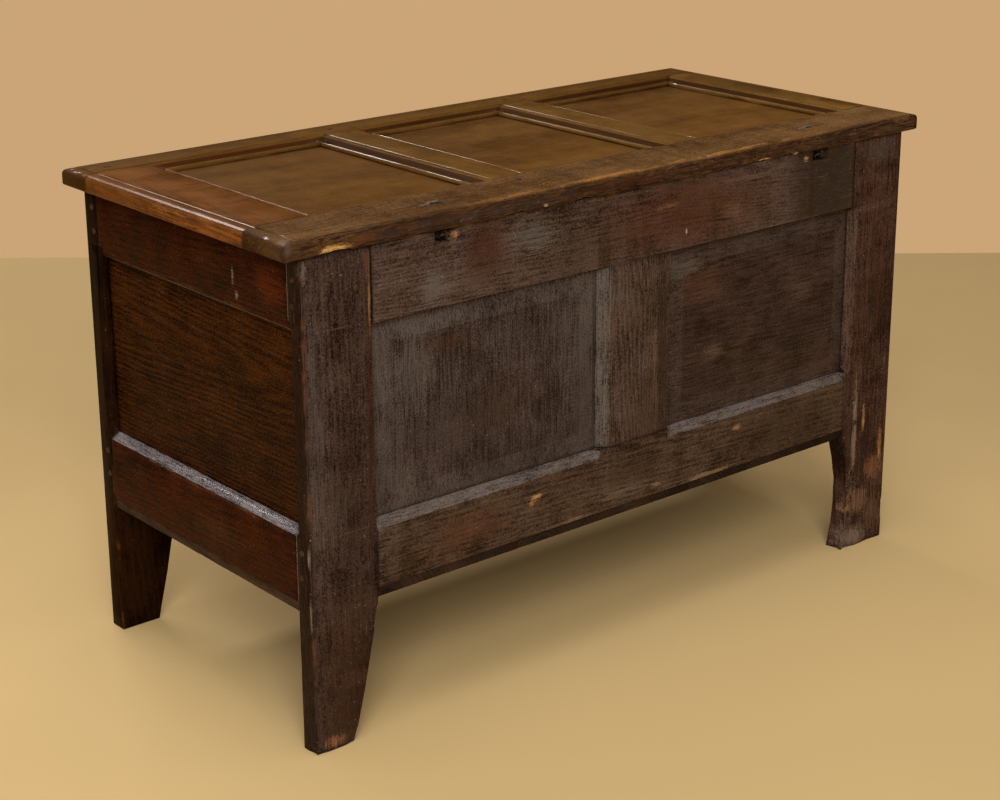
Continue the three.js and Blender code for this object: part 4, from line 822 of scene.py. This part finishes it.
# Lid panels
# Three wide quarter-sawn boards of the same waxed oak, let into the grooves of the lid's frame and
# a finger's thickness under its top.
lid_panel_oak = oak(
    "lid_panel_oak", (0.068, 0.028, 0.0055), (0.155, 0.071, 0.0165), ring=0.05, fibre=0.18,
    broad=0.3, patchy=0.25, gritty=0.2, gloss=0.55, shine=0.02, relief=0.3, worn_amount=0.1,
)
for name, seed in (("left", 36), ("middle", 37), ("right", 38)):
    board(f"lid_{name}_panel", "lid", lid_panel_oak, "flat_x", seed, ends=groove)


# Pegs
# Riven oak pins, eight-sided and a little proud, through every mortise and tenon joint. The stiles
# have a second one under each, and the muntins and the lid's cross pieces have one at each end.
peg_oak = oak(
    "peg_oak", (0.03, 0.012, 0.005), (0.17, 0.09, 0.045), ring=0.05, worn=(0.22, 0.12, 0.06),
    worn_width=0.002, gloss=0.5, shine=0.12,
)
lid_peg_oak = oak(
    "lid_peg_oak", (0.045, 0.018, 0.005), (0.13, 0.062, 0.02), ring=0.05, worn_amount=0.1,
    gloss=0.5, shine=0.05, grime=0.0,
)
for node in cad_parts:
    if node.endswith("_peg"):
        low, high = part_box(node)
        size = high - low
        longest = max(range(3), key=lambda axis: size[axis])
        body, finish = ("lid", lid_peg_oak) if node.startswith("lid") else ("carcase", peg_oak)
        seed = 40 + 0.3 * len(node)
        board(node, body, finish, "xyz"[longest], seed, arris=0.0006, wobble=0.0002)


carcase_peg = (0.0046, 0.0042, 0.0008, 8)
lid_peg = (0.0042, 0.0038, 0.0006, 8)
clout_nail = (0.0055, 0.0035, 0.0012, 10)


def head(name, body, material, spot, out, size):
    """A peg or nail whose head stands proud of a face at that spot, pointing out of it.

    Its size is its radius at the face and at the tip, how far it stands out, and its sides.
    """
    radius, tip, proud, sides = size
    shape = bmesh.new()
    bmesh.ops.create_cone(
        shape, cap_ends=True, segments=sides, radius1=radius, radius2=tip, depth=2 * proud,
        calc_uvs=True,
    )
    mesh = bpy.data.meshes.new(name)
    shape.to_mesh(mesh)
    shape.free()
    mesh.materials.append(material)
    piece = bpy.data.objects.new(name, mesh)
    bpy.context.collection.objects.link(piece)
    turn = Vector(out).to_track_quat("Z", "Y").to_matrix().to_4x4()
    mesh.transform(Matrix.Translation(spot) @ turn)
    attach(piece, body)


material, tree, shader, place = new_material("peg_end_oak")
pith = place.noise((300, 300, 300), 2.0) + place.noise((60, 60, 60), 2.0) * 0.6
end_stops = [(0.0, (0.012, 0.005, 0.002)), (1.0, (0.085, 0.045, 0.024))]
plug(tree, shader, "Base Color", ramp_of(tree, end_stops, pith * 0.4 + 0.45))
plug(tree, shader, "Roughness", pith * 0.1 + 0.6)
shader.inputs["Specular IOR Level"].default_value = 0.1
wire_bump(tree, shader, pith, 0.4, 0.0005)
peg_proud = 0.001
stile_peg_shift, stile_peg_drop = 0.006, 0.042
end_peg_shift, end_peg_drop = 0.002, 0.035
for side, sign in (("right", 1), ("left", -1)):
    for face, out in (("back", 1), ("front", -1)):
        for level in ("bottom", "top"):
            first = f"{face}_{side}_{level}_peg"
            low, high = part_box(first)
            middle = (low + high) / 2
            surface = high.y - peg_proud if out > 0 else low.y + peg_proud
            spot = (middle.x + sign * stile_peg_shift, surface, middle.z - stile_peg_drop)
            head(first + "_2", "carcase", material, spot, (0, out, 0), carcase_peg)
            first = f"{side}_end_{face}_{level}_peg"
            low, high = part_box(first)
            middle = (low + high) / 2
            surface = high.x - peg_proud if sign > 0 else low.x + peg_proud
            spot = (surface, middle.y - out * end_peg_shift, middle.z - end_peg_drop)
            head(first + "_2", "carcase", material, spot, (sign, 0, 0), carcase_peg)
for muntin, out in (("back_muntin", 1), ("front_left_muntin", -1), ("front_right_muntin", -1)):
    low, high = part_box(muntin)
    face = muntin.split("_")[0]
    for level, inset in (("bottom", -0.03), ("top", 0.02)):
        rail_low, rail_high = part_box(f"{face}_{level}_rail")
        height = (rail_low.z if level == "top" else rail_high.z) + inset
        surface = rail_high.y if out > 0 else rail_low.y
        name, spot = f"{muntin}_{level}_peg", ((low.x + high.x) / 2, surface, height)
        head(name, "carcase", material, spot, (0, out, 0), carcase_peg)
for muntin in ("lid_left_muntin", "lid_right_muntin"):
    low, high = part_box(muntin)
    for end, inward in (("front", 1), ("back", -1)):
        rail_low, rail_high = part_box(f"lid_{end}_rail")
        y = rail_high.y - lid_tenon if inward > 0 else rail_low.y + lid_tenon
        spot = ((low.x + high.x) / 2, y, rail_high.z)
        head(f"{muntin}_{end}_peg", "lid", material, spot, (0, 0, 1), lid_peg)


# Hinges
# Two wires of wrought iron a hinge, linked eye through eye, black with dry brown rust. One goes
# through the back top rail and one through the lid, with their ends clenched over.
rusted_iron, tree, shader, place = new_material("rusted_iron")
scale = place.noise((260, 260, 260), 3.0, 0.6)
pits = place.noise((900, 900, 900), 2.0)
rust = (scale + pits * 0.4).ease(-0.3, 0.9)
iron_stops = [
    (0.0, (0.020, 0.016, 0.013)),
    (0.6, (0.055, 0.030, 0.018)),
    (1.0, (0.130, 0.060, 0.030)),
]
rubbed_colour = (0.17, 0.13, 0.09)
rubbed_bright = place.parts()[2].ease(0.6995, 0.7012)
iron_colour = ramp_of(tree, iron_stops, rust)
iron_colour = iron_colour.blend(rubbed_colour, rubbed_bright * (pits * 0.4 + 0.6))
plug(tree, shader, "Base Color", iron_colour)
plug(tree, shader, "Metallic", (0.75 - rust * 0.6) * (1 - rubbed_bright))
plug(tree, shader, "Roughness", 0.5 + rust * 0.3)
wire_bump(tree, shader, scale + pits * 0.5, 0.6, 0.0004)
for node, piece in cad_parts.items():
    if node.endswith("_eye"):
        piece.data.materials.clear()
        piece.data.materials.append(rusted_iron)


# Nails
# Clout nails of wrought iron, with faceted heads, two through each end of a floor board and up into
# the rails over it.
nail_inset = 0.012
for index in range(1, 6):
    low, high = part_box(f"floor_board_{index}")
    middle, quarter = (low.x + high.x) / 2, (high.x - low.x) / 4
    for end, y in (("front", low.y + nail_inset), ("back", high.y - nail_inset)):
        for side, x in (("left", middle - quarter), ("right", middle + quarter)):
            name, spot = f"floor_nail_{index}_{end}_{side}", (x, y, low.z)
            head(name, "carcase", rusted_iron, spot, (0, 0, -1), clout_nail)
